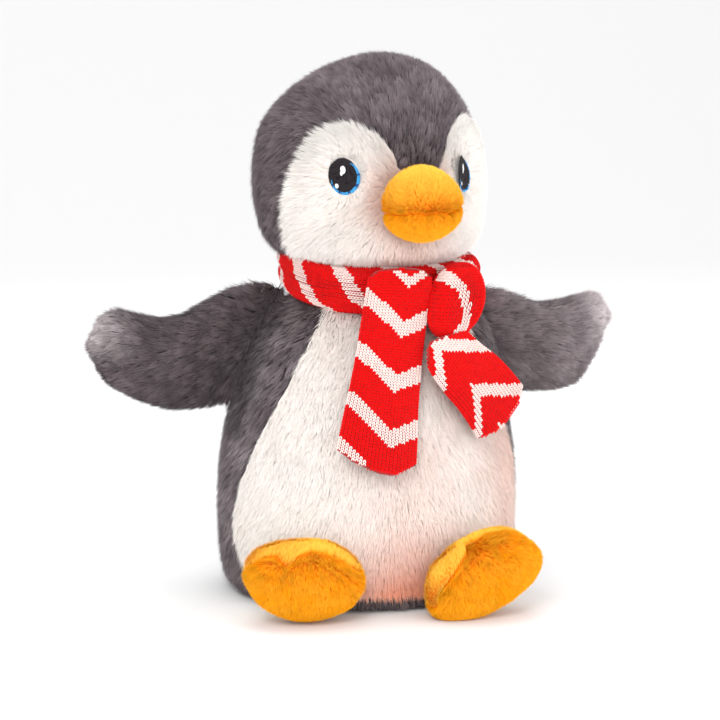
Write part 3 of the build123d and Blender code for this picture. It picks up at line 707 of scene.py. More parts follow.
# ------------------------------------------------------------------ head
rng = np.random.default_rng(7)
HEAD_P = head_grid()
crown = np.clip((HEAD_P[..., 2] - 168) / 26, 0, 1)
head_s = outward(inset_grid(HEAD_P, 3.0 + crown * crown * (3 - 2 * crown) * np.clip(2.7 - HEAD_P[..., 0] * 0.10, 0.0, 3.6)))
V_, F_, N_ = head_s.arrays()
cen = to_head(np.array([V_[list(f)].mean(0) for f in F_]))
is_face = inside(FACE_OUTLINE, cen[:, 0], cen[:, 2]) & (cen[:, 1] < -8)
for tag, m in (("right", cen[:, 0] < 0), ("left", cen[:, 0] >= 0)):
    panel(f"head_crown_{tag}_cloth", V_, F_, N_, m & ~is_face, 0.8, m_grey_back, "head", f"head_crown_{tag}")
    panel(f"face_{tag}_cloth", V_, F_, N_, m & is_face, 0.8, m_white_back, "head", f"face_panel_{tag}")
filling("head_fibre_filling", HEAD_P, 5.5 + 3.0 * crown, "head", "head_stuffing", 101, zmax=188.5)
ball = ellipsoid_grid(NECK, (13.2, 13.2, 13.2), np.eye(3)[[2, 0, 1]], 32, 24)[0]
filling("neck_fibre_filling", ball, 0.4, "neck", "neck_stuffing", 103, lump=0.4)


def eye_frame(side):
    a = EYE_AZ[side]
    n = HX * (side * math.sin(a)) - HY * math.cos(a)
    t = np.cross(UP, n)
    o = from_head(side * EYE_POS[0], EYE_POS[1], EYE_POS[2])
    return o, n, t


def eye_local(p, side):
    o, n, t = eye_frame(side)
    q = p - o
    return q @ t, q[..., 2], q @ n


AREA_FUR = {}
white_mask = lambda h: inside(FACE_OUTLINE, h[:, 0], h[:, 2]) & (h[:, 1] < -8)


def head_white_weight(c):
    h = to_head(c)
    return np.where(white_mask(h), 1.0, 0.0)


def beak_clear(h, grow=0.0):
    """Inside the beak's footprint on the face."""
    return ((h[:, 0] / (BEAK_R[0] - 1.5 + grow)) ** 2 + ((h[:, 2] - BEAK_C[2]) / (BEAK_R[2] - 1.5 + grow)) ** 2 < 1) & (h[:, 1] < 0)


def head_fur():
    n = int(110000 * DENSITY)
    p, nr, _ = head_s.scatter(n, rng, lambda c: 1.0 - head_white_weight(c))
    h = to_head(p)
    keep = ~white_mask(h) & ~beak_clear(h)
    p, nr, h = p[keep], nr[keep], h[keep]
    r = unit(np.stack([h[:, 0] * 0.5, h[:, 1], h[:, 2] - 155.0], 1))
    # front: up and back; top: back; back: down; sides: down and back
    local = np.stack([np.zeros(len(r)), r[:, 2], -r[:, 1]], 1)
    sidew = np.clip(np.abs(h[:, 0]) / 40.0, 0, 1)[:, None]
    local = local * (1 - 0.75 * sidew) + np.stack([np.zeros(len(r)), np.full(len(r), 0.55), np.full(len(r), -0.8)], 1) * sidew
    comb = local[:, :1] * HX + local[:, 1:2] * HY + local[:, 2:3] * UP
    dist = outline_distance(FACE_OUTLINE, h[:, 0], h[:, 2]) + np.where(h[:, 1] > 0, 30, 0)
    L = 5.4 - 1.4 * np.exp(-dist / 5.0) + vnoise(p, 12, 5) * 0.4
    near_beak = np.exp(-np.hypot(h[:, 0], h[:, 2] - 157) / 5.5) * (h[:, 1] < 0)
    L = L - 2.2 * near_beak + 0.8 * np.clip((131 - h[:, 2]) / 7, 0, 1)
    # painted shade: the grey pile is darker next to the top of the beak (near_beak), and on the right side (x below
    # -20) it gets less of the pale tint; it is also a little darker towards the crown
    light = 0.46 + 0.10 * vnoise(p, 14, 6) + 0.16 * vnoise(p, 4.5, 7) - 0.35 * near_beak - 0.06 * np.clip((h[:, 2] - 160) / 40, -0.5, 1)
    altm = np.clip(0.05 + 0.12 * vnoise(p, 6, 9) - 0.2 * np.clip((-h[:, 0] - 20) / 20, 0, 1), 0, 1)
    for tag, m in (("right", h[:, 0] < 0), ("left", h[:, 0] >= 0)):
        pile(f"head_crown_{tag}_pile", "head", m_grey, p[m], nr[m], comb[m], L[m], 0.26, 62.0, rng,
             GREY_DARK, GREY_TIP, GREY_PALE, light[m], altm[m], clump=0.5, clump_size=2.3, seed=3, tufts=0.95, spread=(0.55, 1.3))


def face_fur():
    n = int(84000 * DENSITY)
    p, nr, _ = head_s.scatter(n, rng, head_white_weight)
    h = to_head(p)
    keep = white_mask(h) & ~beak_clear(h, -4.5)
    for side in (-1, 1):
        ex, ez, ed = eye_local(p, side)
        k = 0.97 if side < 0 else 0.86
        keep &= ~(((ex / (5.7 * k)) ** 2 + (ez / (6.3 * k)) ** 2 < 1) & (ed > -9))
    p, nr, h = p[keep], nr[keep], h[keep]
    away = np.stack([h[:, 0], np.full(len(h), 4.0), h[:, 2] - BEAK_C[2]], 1)
    comb = unit(away[:, :1] * HX + away[:, 1:2] * HY + away[:, 2:3] * UP)
    comb = unit(comb + UP * -0.25)
    edge = outline_distance(FACE_OUTLINE, h[:, 0], h[:, 2])
    L = 4.4 + 1.3 * np.exp(-edge / 3.5) + vnoise(p, 9, 15) * 0.3
    lean = np.full(len(p), 60.0)
    for side in (-1, 1):
        ex, ez, ed = eye_local(p, side)
        rr = np.hypot(ex / 5.7, ez / 6.4)
        near = np.exp(-np.clip(rr - 1, 0, 9) * 1.6) * (ed > -9)
        L = L * (1 - (0.55 if side < 0 else 0.40) * near)
        o, en, et = eye_frame(side)
        out = unit(ex[:, None] * et + ez[:, None] * UP)
        comb = unit(comb * (1 - near[:, None]) + out * near[:, None] * 1.6)
    nb = np.exp(-np.clip(np.hypot(h[:, 0] / 13.0, (h[:, 2] - BEAK_C[2]) / 12.0) - 1, 0, 9) * 3.0) * (h[:, 1] < 0)
    L = L * (1 - 0.4 * nb)
    # painted shade: the white pile is darkened along the upper part of its outline, under the edge of the grey hood
    light = 0.72 + 0.1 * vnoise(p, 10, 16) - 0.8 * np.exp(-(edge / 5.5) ** 2) * np.clip((h[:, 2] - 150) / 12, 0, 1)
    low = np.clip((136 - h[:, 2]) / 12, 0, 1)
    hang = np.clip((131 - h[:, 2]) / 7, 0, 1)
    comb = unit(comb + np.outer(hang, UP * -1.6))
    L = L + 1.0 * hang
    # painted reflected light: the peach tint is mixed in round the beak (nb) and low in the middle of the face, above
    # the scarf
    altm = np.clip(0.01 + 0.40 * nb + 0.42 * low * np.exp(-(h[:, 0] / 14) ** 2) + 0.04 * vnoise(p, 9, 18), 0, 1)
    # the face's tips stay darker (spread up to 0.965) than the belly's: painted shade on the face
    for tag, m in (("right", h[:, 0] < 0), ("left", h[:, 0] >= 0)):
        pile(f"face_panel_{tag}_pile", "head", m_white, p[m], nr[m], comb[m], L[m], 0.24, lean[m], rng,
             WHITE_DARK, WHITE_TIP, PAINTED_WARM_BOUNCE, light[m], altm[m], clump=0.30, clump_size=2.0, seed=23, tufts=0.6, spread=(0.80, 0.965), curl=0.12, sway=0.6)


head_fur()
face_fur()

# ------------------------------------------------------------------ torso
TORSO_P = torso_grid()
belly_area = lambda p: inside(BELLY_OUTLINE, p[:, 0], p[:, 2]) & (p[:, 1] < 0)
white = np.clip(outline_distance(BELLY_OUTLINE, TORSO_P[..., 0].ravel(), TORSO_P[..., 2].ravel()).reshape(TORSO_P.shape[:2]) / 6, 0, 1) * belly_area(TORSO_P.reshape(-1, 3)).reshape(TORSO_P.shape[:2])
grid = inset_grid(TORSO_P, 1.0 + 1.3 * white)
grid[..., 2] = np.maximum(grid[..., 2], 0.6)
torso_s = outward(grid)
V_, F_, N_ = torso_s.arrays()
cen = np.array([V_[list(f)].mean(0) for f in F_])
is_base = cen[:, 2] < 3.2
is_belly = inside(BELLY_OUTLINE, cen[:, 0], cen[:, 2]) & (cen[:, 1] < 0) & ~is_base
for tag, m in (("right", cen[:, 0] < 0), ("left", cen[:, 0] >= 0)):
    panel(f"torso_back_{tag}_cloth", V_, F_, N_, m & ~is_belly & ~is_base, 0.8, m_grey_back, "torso", f"torso_back_{tag}")
belly_cloth = panel("belly_cloth", V_, F_, N_, is_belly, 0.8, m_white_back, "torso", "belly_panel")
panel("base_cloth", V_, F_, N_, is_base, 0.8, m_grey_back, "torso", "base_panel")
filling("torso_fibre_filling", TORSO_P, 5.5, "torso", "torso_stuffing", 105, zmin=2.2)
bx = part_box("bean_bag")
lo, hi = np.array([list(c) for c in bx]) / MM
bag = ellipsoid_grid((lo + hi) / 2, (hi - lo)[[2, 0, 1]] / 2 * 0.97, np.eye(3)[[2, 0, 1]], 40, 26, 2.6)[0]
filling("bean_pouch", bag, 0.5, "torso", "bean_bag", 107, mat=m_pouch, lump=0.5)
belly_mask = lambda p: belly_area(p) & (p[:, 2] > 7.5 - 1.5 * np.clip((np.abs(p[:, 0]) - 20) / 20, 0, 1))


def torso_fur():
    n = int(116000 * DENSITY)
    up_ok = lambda c: np.where((c[:, 2] > 0.4) & (c[:, 2] < 111), 1.0, 0.0) * (1 - belly_mask(c))
    p, nr, _ = torso_s.scatter(n, rng, up_ok)
    keep = ~belly_mask(p) & ~((nr[:, 2] < -0.9))
    p, nr = p[keep], nr[keep]
    comb = np.stack([p[:, 0] * 0.004, np.full(len(p), 0.25), np.full(len(p), -1.0)], 1)
    low = np.clip((8 - p[:, 2]) / 8, 0, 1)
    L = 5.6 - 2.6 * low + vnoise(p, 12, 35) * 0.4
    light = 0.52 + 0.12 * vnoise(p, 13, 36) + 0.2 * vnoise(p, 4.5, 37)
    seamd = np.abs(p[:, 0]) - np.interp(p[:, 2], [66, 85, 100, 113], [49.0, 43.5, 36.5, 29.0])
    # painted shade: darker along the wing's seam above z 60, with a slightly paler strip about 9 mm inside it
    light = light - (0.62 * np.exp(-(seamd / 3.2) ** 2) - 0.10 * np.exp(-((seamd + 9) / 5) ** 2)) * (p[:, 2] > 60)
    # painted shade: towards the base the pile loses its pale tint, and it darkens below 9 mm
    altm = np.clip(0.22 + 0.25 * vnoise(p, 6, 39), 0, 1) * np.clip(p[:, 2] / 14, 0, 1)
    light = light - 0.4 * np.clip((9 - p[:, 2]) / 4, 0, 1)
    for tag, m in (("right", p[:, 0] < 0), ("left", p[:, 0] >= 0)):
        pile(f"torso_back_{tag}_pile", "torso", m_grey, p[m], nr[m], comb[m], L[m], 0.27, 62.0, rng,
             GREY_DARK, GREY_TIP, GREY_PALE, light[m], altm[m], clump=0.5, clump_size=2.5, seed=33, floor=0.15, tufts=0.95, spread=(0.55, 1.3))
    n = int(112000 * DENSITY)
    p, nr, _ = torso_s.scatter(n, rng, lambda c: np.where(belly_mask(c) & (c[:, 2] > 3.0), 1.0, 0.0))
    keep = belly_mask(p)
    p, nr = p[keep], nr[keep]
    comb = np.stack([p[:, 0] * 0.012, np.full(len(p), -0.1), np.full(len(p), -1.0)], 1)
    edge = outline_distance(BELLY_OUTLINE, p[:, 0], p[:, 2])
    L = 4.6 + 1.0 * np.exp(-edge / 4.0) + vnoise(p, 10, 45) * 0.3
    light = 0.72 + 0.1 * vnoise(p, 12, 46)
    mid = np.exp(-(p[:, 0] / 30) ** 2)
    # painted reflected light: the peach tint is mixed in low in the middle above the feet, somewhat in the lower
    # middle, and towards the left side (x above 26)
    altm = np.clip(0.01 + 0.95 * np.clip((38 - p[:, 2]) / 32, 0, 1) ** 1.3 * np.exp(-((p[:, 0] - 2) / 26) ** 2) + 0.21 * np.exp(-((p[:, 0] - 8) / 22) ** 2) * np.clip((80 - p[:, 2]) / 30, 0.2, 1) + 0.36 * np.clip((p[:, 0] - 26) / 18, 0, 1) + 0.05 * vnoise(p, 10, 48), 0, 1)
    # the belly's tips are brighter than the face's (spread up to 1.06): painted light on the belly
    for tag, m in (("right", p[:, 0] < 0), ("left", p[:, 0] >= 0)):
        pile(f"belly_panel_{tag}_pile", "torso", m_white, p[m], nr[m], comb[m], L[m], 0.24, 63.0, rng,
             WHITE_DARK, WHITE_TIP, PAINTED_WARM_BOUNCE, light[m], altm[m], clump=0.24, clump_size=2.0, seed=43, floor=0.15, tufts=0.5, spread=(0.93, 1.06), curl=0.12, sway=0.6)


torso_fur()

# ------------------------------------------------------------------ wings
def wing_fill(full, tag):
    half = np.ptp(full[..., 1], axis=1)[:, None] * 0.5 * np.ones(full.shape[1])
    full = full.copy()
    for k, q in ((20, 0.2), (21, 0.45), (22, 0.7), (23, 0.88)):
        full[k] = full[k].mean(0) + (full[k] - full[k].mean(0)) * q
    filling(f"wing_{tag}_fibre_filling", full[20:], np.minimum(4.6, half * 0.78)[20:], f"wing_{tag}", f"wing_{tag}_stuffing", 109, lump=0.2)


for rows, tag in ((WING_RIGHT, "right"), (WING_LEFT, "left")):
    full = wing_grid(rows)
    thick = np.full(full.shape[:2], 3.0)
    thick = 2.6 - 0.8 * np.clip((58 - np.abs(full[..., 0])) / 10, 0, 1)
    lim = np.minimum(np.abs(full[..., 1] - full[..., 1].mean(1, keepdims=True)) * 0.0 + np.ptp(full[..., 1], axis=1)[:, None] * 0.28, np.linalg.norm(full - full.mean(1, keepdims=True), axis=2) * 0.7)
    s = outward(inset_grid(full, np.minimum(thick, lim)))
    skin = s.mesh(f"wing_{tag}_skin")
    skin.data.materials.append(m_grey_back)
    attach(skin, f"wing_{tag}")
    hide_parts(f"wing_{tag}_front_panel", f"wing_{tag}_back_panel")
    wing_fill(full, tag)
    sgn = 1 if rows[0][0] > 0 else -1
    n = int(44000 * DENSITY)
    p, nr, _ = s.scatter(n, rng)
    comb = np.stack([np.full(len(p), float(sgn)), np.full(len(p), 0.12), 0.016 * (p[:, 2] - 88) - 0.15], 1)
    seamx = np.interp(p[:, 2], [66, 85, 100, 113], [49.0, 43.5, 36.5, 29.0] if sgn < 0 else [49.5, 44.5, 39.0, 33.0])
    root = np.clip((seamx + 9 - np.abs(p[:, 0])) / 9, 0, 1)
    comb = comb + np.outer(root, np.array([-sgn * 1.5, -0.3, -0.4]))
    L = 5.6 - 1.9 * root + vnoise(p, 12, 55) * 0.4
    tipness = np.clip((np.abs(p[:, 0]) - 80) / 14, 0, 1)
    L = L - 1.2 * tipness
    hi = np.clip((p[:, 2] - 82) / 13, 0, 1)
    # painted light and shade: the left wing's pile is paler (base 0.60 and more of the pale tint) than the right wing's
    # (0.20), lit and shaded copies of one fur; both darken and lose the pale tint at the root, with a dark line along
    # the seam to the body, and are paler at the top of the tip
    base = 0.20 if tag == "right" else 0.60
    light = base + 0.10 * vnoise(p, 12, 56) + 0.2 * vnoise(p * np.array([0.5, 1, 1]), 3.6, 57) + 0.5 * tipness * hi - 0.14 * root - 0.6 * np.exp(-((np.abs(p[:, 0]) - seamx - 1.0) / 3.8) ** 2)
    altm = np.clip(0.0 + 0.12 * vnoise(p, 6, 59) + 0.95 * tipness * hi + (0.22 if tag == "left" else 0.0) - 0.3 * root, 0, 1)
    pile(f"wing_{tag}_pile", f"wing_{tag}", m_grey, p, nr, comb, L, 0.26, 64.0, rng,
         GREY_DARK, GREY_TIP, GREY_PALE, light, altm, clump=0.48, clump_size=2.4, seed=53, tufts=0.95, spread=(0.55, 1.3))



# ------------------------------------------------------------------ feet
FOOT_R = np.array([20.8, 11.6, 14.4])


def rot(axis, deg):
    return np.array(Matrix.Rotation(math.radians(deg), 3, axis))


def velour(name, body, surf, count, L, comb_fn, light_fn, alt_fn, seed, width=0.2, lean=48.0, weight=None, dark=None):
    p, nr, _ = surf.scatter(int(count * DENSITY), rng, weight)
    comb = comb_fn(p, nr)
    return pile(name, body, m_orange, p, nr, comb, L(p) if callable(L) else np.full(len(p), L), width, lean, rng,
                ORANGE_DARK if dark is None else dark, ORANGE_TIP, ORANGE_PAINTED_TOPLIGHT, light_fn(p), alt_fn(p), clump=0.34, clump_size=1.1, seed=seed, floor=0.12, sink=0.2, spread=(0.72, 1.06))


def torso_push(P, gap):
    """Points that lie inside the body's trunk are moved out to its surface."""
    t = np.array(TORSO)
    z = np.clip(P[..., 2], 0, 112)
    rx, ry = np.interp(z, t[:, 0], t[:, 1]) + gap, np.interp(z, t[:, 0], t[:, 2]) + gap
    cx, cy = np.interp(z, t[:, 0], t[:, 3]), np.interp(z, t[:, 0], t[:, 4])
    dx, dy = P[..., 0] - cx, P[..., 1] - cy
    f = np.sqrt((dx / rx) ** 2 + (dy / ry) ** 2)
    k = np.where(f < 1, 1 / np.maximum(f, 0.2), 1.0)
    Q = P.copy()
    Q[..., 0] = cx + dx * k
    Q[..., 1] = cy + dy * k
    return Q


def foot(tag, centre, lean, yaw, roll, side, seam, dents, outline):
    """A pad of two panels. seam(x) is the height of the join on the front, from -1 to 1, and dents are (x, z, length, width, depth, angle)."""
    M = rot("Z", side * yaw) @ rot("X", lean) @ rot("Y", -side * roll)
    axes = M.T
    c = np.array(centre)
    P, U = ellipsoid_grid(c, FOOT_R, axes, 150, 110, 2.15)
    x, y, z = U[..., 0], U[..., 1], U[..., 2]
    th = np.degrees(np.arctan2(z, x))
    shape = np.interp(th, [q[0] for q in outline], [q[1] for q in outline])
    shape = 1 + (shape - 1) * np.clip(np.hypot(x, z), 0, 1)
    P = P + ((shape - 1) * z * FOOT_R[2])[..., None] * axes[2] + ((shape - 1) * x * FOOT_R[0])[..., None] * axes[0]
    front = np.clip(-y * 2.5, 0, 1)
    zs = seam(x)
    groove = np.exp(-((z - zs) / 0.06) ** 2) * np.clip(-y * 4 + 0.8, 0, 1) * np.clip((1 - np.abs(x)) * 6, 0, 1)
    streak = vnoise(np.stack([np.arctan2(x, 1.5 - z).ravel() * 26, np.hypot(x, 1.5 - z).ravel() * 4, 0 * x.ravel()], 1), 1.0, 62).reshape(x.shape)
    under = np.exp(-np.clip(zs - z, 0, 2) / 0.35) * (z < zs)
    puff = 0.6 * np.clip((zs - z) / 0.3, 0, 1) * np.clip((z + 1.1) * 1.5, 0, 1) * front
    d = 0.9 + groove * 0.55 - puff * 0.8 + 0.25 * streak * under * front
    for dx, dz, dl, dw, dd, da in dents:
        ca, sa = math.cos(math.radians(da)), math.sin(math.radians(da))
        u = (x - dx) * FOOT_R[0] * ca + (z - dz) * FOOT_R[2] * sa
        v = -(x - dx) * FOOT_R[0] * sa + (z - dz) * FOOT_R[2] * ca
        d = d + 0.55 * dd * np.exp(-(u / dl) ** 2 - (v / dw / 1.3) ** 2) * front
    flat = P.reshape(-1, 3)
    d = d - (vnoise(flat, 7.0, 61) * 0.35).reshape(d.shape)
    Q = inset_grid(P, d)
    Q = torso_push(Q, 0.9)
    Q[..., 2] = np.maximum(Q[..., 2], 0.35)
    for k in (0, -1):
        Q[k] = Q[k].mean(0)
    s = outward(Q)
    skin = s.mesh(f"foot_{tag}_skin")
    skin.data.materials.append(m_orange_back)
    body = f"foot_{tag}"
    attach(skin, body)
    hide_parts(f"foot_{tag}_top_panel", f"foot_{tag}_sole_panel")
    filling(f"foot_{tag}_fibre_filling", Q, 2.2, body, f"foot_{tag}_stuffing", 111, lump=0.3)

    def local(p):
        q = (p - c) @ M
        return q / FOOT_R

    def comb(p, nr):
        u = local(p)
        below = (u[:, 2] < seam(u[:, 0]))[:, None]
        down = -axes[2] + 0.25 * np.outer(u[:, 0], axes[0])
        up = axes[1] * 0.5 + 0.9 * axes[2] + 0.25 * axes[0]
        return np.where(below & (u[:, 1:2] < 0.2), down, up)

    def light(p):
        u = local(p)
        dz = seam(u[:, 0]) - u[:, 2]
        front = u[:, 1] < 0.1
        band = np.where(front & (dz > 0), np.exp(-dz / 0.5), 0)
        # painted light and shade: above the join and at the back the pile is lighter, light from above; below the join
        # the parted pile darkens in streaks, a dark line runs along the join, and each dent is darkened
        out = 0.78 + 0.20 * vnoise(p, 1.5, 65) + 0.10 * vnoise(p, 2.6, 63) + 0.10 * vnoise(p, 6.0, 64) + 0.3 * ((u[:, 2] > seam(u[:, 0])) | (u[:, 1] > 0.1))
        st = vnoise(np.stack([np.arctan2(u[:, 0], 1.5 - u[:, 2]) * 26, np.hypot(u[:, 0], 1.5 - u[:, 2]) * 4, 0 * u[:, 0]], 1), 1.0, 62)
        out = out - 0.42 * band * np.clip(st + 0.25, 0, 1)
        out = out - 0.18 * np.exp(-(dz / 0.045) ** 2) * front
        for dx, dzz, dl, dw, dd, da in dents:
            ca, sa = math.cos(math.radians(da)), math.sin(math.radians(da))
            a = (u[:, 0] - dx) * FOOT_R[0] * ca + (u[:, 2] - dzz) * FOOT_R[2] * sa
            b = -(u[:, 0] - dx) * FOOT_R[0] * sa + (u[:, 2] - dzz) * FOOT_R[2] * ca
            out = out - 0.30 * dd * np.exp(-(a / dl) ** 2 - (b / dw) ** 2) * front
        return out

    def alt(p):
        u = local(p)
        # the top takes the full pale tint, painted light from above
        top = (u[:, 2] > seam(u[:, 0])) | (u[:, 1] > 0.1)
        return np.where(top, 1.0, 0.20) + 0.1 * vnoise(p, 4.0, 66)

    def length(p):
        u = local(p)
        return np.where(u[:, 2] > seam(u[:, 0]) + 0.03, 1.7, 2.2 + 0.7 * np.exp(-np.abs(seam(u[:, 0]) - u[:, 2]) / 0.3))

    velour(f"foot_{tag}_pile", body, s, 42000, length, comb, light, alt, 71, width=0.23, lean=54.0)


def rim_height(x, xs, hs):
    """The join's height on the front of the pad, from its height as a share of the outline seen from the front and a little above."""
    h = np.interp(x, xs, hs) - 0.14
    return np.sqrt(np.maximum(1 - x * x, 0.0)) ** 0.93 * np.sin(np.minimum(np.arcsin(np.clip(h, -1, 1)) + math.radians(23.0), math.radians(104)))


def seam_right(x):
    return rim_height(x, [-1, -0.88, -0.7, -0.5, -0.34, -0.17, 0.08, 0.33, 0.62, 0.83, 1.0], [0.75, 0.86, 0.90, 0.80, 0.52, 0.74, 0.82, 0.80, 0.68, 0.52, 0.35])


def seam_left(x):
    return rim_height(x, [-1, -0.92, -0.76, -0.36, -0.09, 0.2, 0.7, 0.84, 1.0], [0.0, 0.35, 0.58, 0.80, 0.93, 0.97, 0.97, 0.80, 0.9])


foot("right", (-35.6, -53.0, 15.2), 20, 8, 3, -1, seam_right,
     [(-0.42, 0.72, 2.6, 0.7, 0.7, -40), (-0.30, 0.70, 2.2, 0.6, 0.8, 60), (-0.58, 0.50, 2.6, 0.7, 0.5, 60), (0.25, 0.80, 2.6, 0.6, 0.8, -25), (0.42, 0.68, 3.0, 0.6, 0.9, -30), (0.62, 0.60, 2.8, 0.6, 0.8, -35), (0.05, 0.66, 2.2, 0.6, 0.4, -80), (-0.75, 0.36, 2.2, 0.7, 0.4, -60), (0.78, 0.36, 2.4, 0.5, 0.6, -30)],
     [(-180, 0.98), (-172, 0.925), (-140, 0.885), (-112, 0.925), (-88, 1.0), (-68, 1.0), (-46, 0.95), (-19, 0.96), (-3, 1.0), (25, 0.97), (51, 0.985), (73, 0.985), (100, 1.0), (123, 1.04), (140, 1.09), (160, 1.05), (180, 0.98)])
foot("left", (28.0, -58.0, 15.2), 18, 12, 26, 1, seam_left,
     [(0.22, 0.80, 2.2, 0.8, 1.1, 70), (0.30, 0.66, 2.6, 0.6, 0.5, 20), (0.05, 0.74, 2.6, 0.6, 0.6, 40), (0.90, 0.22, 1.8, 0.8, 1.2, -10), (0.78, 0.46, 2.6, 0.6, 0.7, -40), (0.60, 0.62, 2.4, 0.6, 0.5, -50), (-0.30, 0.64, 2.6, 0.7, 0.4, 60)],
     [(-180, 1.09), (-158, 1.11), (-140, 1.09), (-113, 1.0), (-87, 0.88), (-60, 0.95), (-39, 1.03), (-24, 1.06), (-11, 1.05), (13, 0.96), (41, 0.97), (68, 0.98), (86, 1.02), (103, 1.04), (128, 1.04), (145, 1.09), (160, 1.09), (180, 1.09)])

# ------------------------------------------------------------------ beak
BC = from_head(BEAK_C[0], BEAK_C[1], BEAK_C[2])
BR = np.array(BEAK_R)


def mouth(x):
    return (BEAK_SEAM_Z - 0.8 - BEAK_C[2]) / BR[2] + 0.03 * np.cos(x * 3) + 0.022 * np.sin(x * 11 + 0.7) + 0.26 * np.clip((x - 0.35) / 0.65, 0, 1) ** 1.4


def beak():
    P, U = ellipsoid_grid(np.zeros(3), np.ones(3), np.eye(3), 170, 130, 2.0)
    x, y, z = U[..., 0], U[..., 1], U[..., 2]
    zs = mouth(x)
    upper = np.clip((z - zs) / 0.25, 0, 1)
    lower = 1 - upper
    # the upper part narrows towards the top, the lower part is rounder and set back
    wide = 1.04 - 0.10 * np.clip(z, 0, 1) ** 1.5
    X = x * wide * BR[0]
    Y = np.where(y < 0, y * BR[1] * (1 - 0.06 * lower), y * 4.6)
    Z = z * BR[2] * np.where(z > 0, 1.04, 1.03)
    P = from_head(X + BEAK_C[0], Y + BEAK_C[1], Z + BEAK_C[2])
    s0 = outward(P)
    lip = np.exp(-np.abs((z - zs) / 0.10) ** 1.5) * np.clip(-y * 3 + 0.3, 0, 1)
    ang = x * 17 + 2.5 * vnoise(P.reshape(-1, 3), 4.0, 81).reshape(x.shape)
    pucker = np.clip(np.sin(ang * 1.9) * 0.5 + 0.5, 0, 1) ** 2 * np.exp(-np.abs(z - zs) / 0.22) * np.clip(-y * 3, 0, 1)
    lip = lip * np.clip((1 - np.abs(x)) * 6, 0.1, 1)
    d = 0.6 + 0.62 * lip * (0.5 + 0.5 * np.clip((x + 0.5) / 0.7, 0, 1)) + 0.9 * pucker * (0.55 + 0.45 * np.clip((x + 0.1) / 0.6, 0, 1)) - 0.5 * np.exp(-((z - zs + 0.30) / 0.2) ** 2)
    Q = P - s0.N * d[..., None]
    for k in (0, -1):
        Q[k] = Q[k].mean(0)
    s = outward(Q)
    skin = s.mesh("beak_skin")
    skin.data.materials.append(m_orange_back)
    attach(skin, "head")
    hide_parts("beak_upper_panel", "beak_lower_panel")
    filling("beak_fibre_filling", Q, 2.8, "head", "beak_stuffing", 113, lump=0.25)

    def local(p):
        h = to_head(p) - np.array(BEAK_C)
        return h / BR

    def comb(p, nr):
        u = local(p)
        zz = u[:, 2] - mouth(u[:, 0])
        dirn = np.stack([u[:, 0] * 0.8 + 0.1, np.full(len(p), 0.25), np.where(zz > 0, 1.0, -1.0)], 1)
        return dirn[:, :1] * HX + dirn[:, 1:2] * HY + dirn[:, 2:3] * UP

    def light(p):
        u = local(p)
        zz = u[:, 2] - mouth(u[:, 0])
        a = u[:, 0] * 17 + 2.5 * vnoise(p, 4.0, 81)
        puck = np.clip(np.sin(a * 1.9) * 0.5 + 0.5, 0, 1) * np.exp(-np.abs(zz) / 0.22)
        # painted shade: darker along the mouth crease and in the puckers
        return 0.84 - 0.20 * np.exp(-(zz / 0.07) ** 2) - 0.52 * puck + 0.12 * vnoise(p, 2.4, 82) + 0.1 * vnoise(p, 1.2, 84)

    def alt(p):
        u = local(p)
        # paler towards the top, painted light from above, and less pale at the mouth, painted shade
        return np.clip(0.55 + 0.45 * u[:, 2], 0.30, 0.9) - 0.3 * np.exp(-np.abs(u[:, 2] - mouth(u[:, 0])) / 0.25)

    velour("beak_pile", "head", s, 36000, 2.3, comb, light, alt, 83, weight=lambda c: np.where(to_head(c)[:, 1] < BEAK_C[1] + 4.0, 1.0, 0.0))


beak()

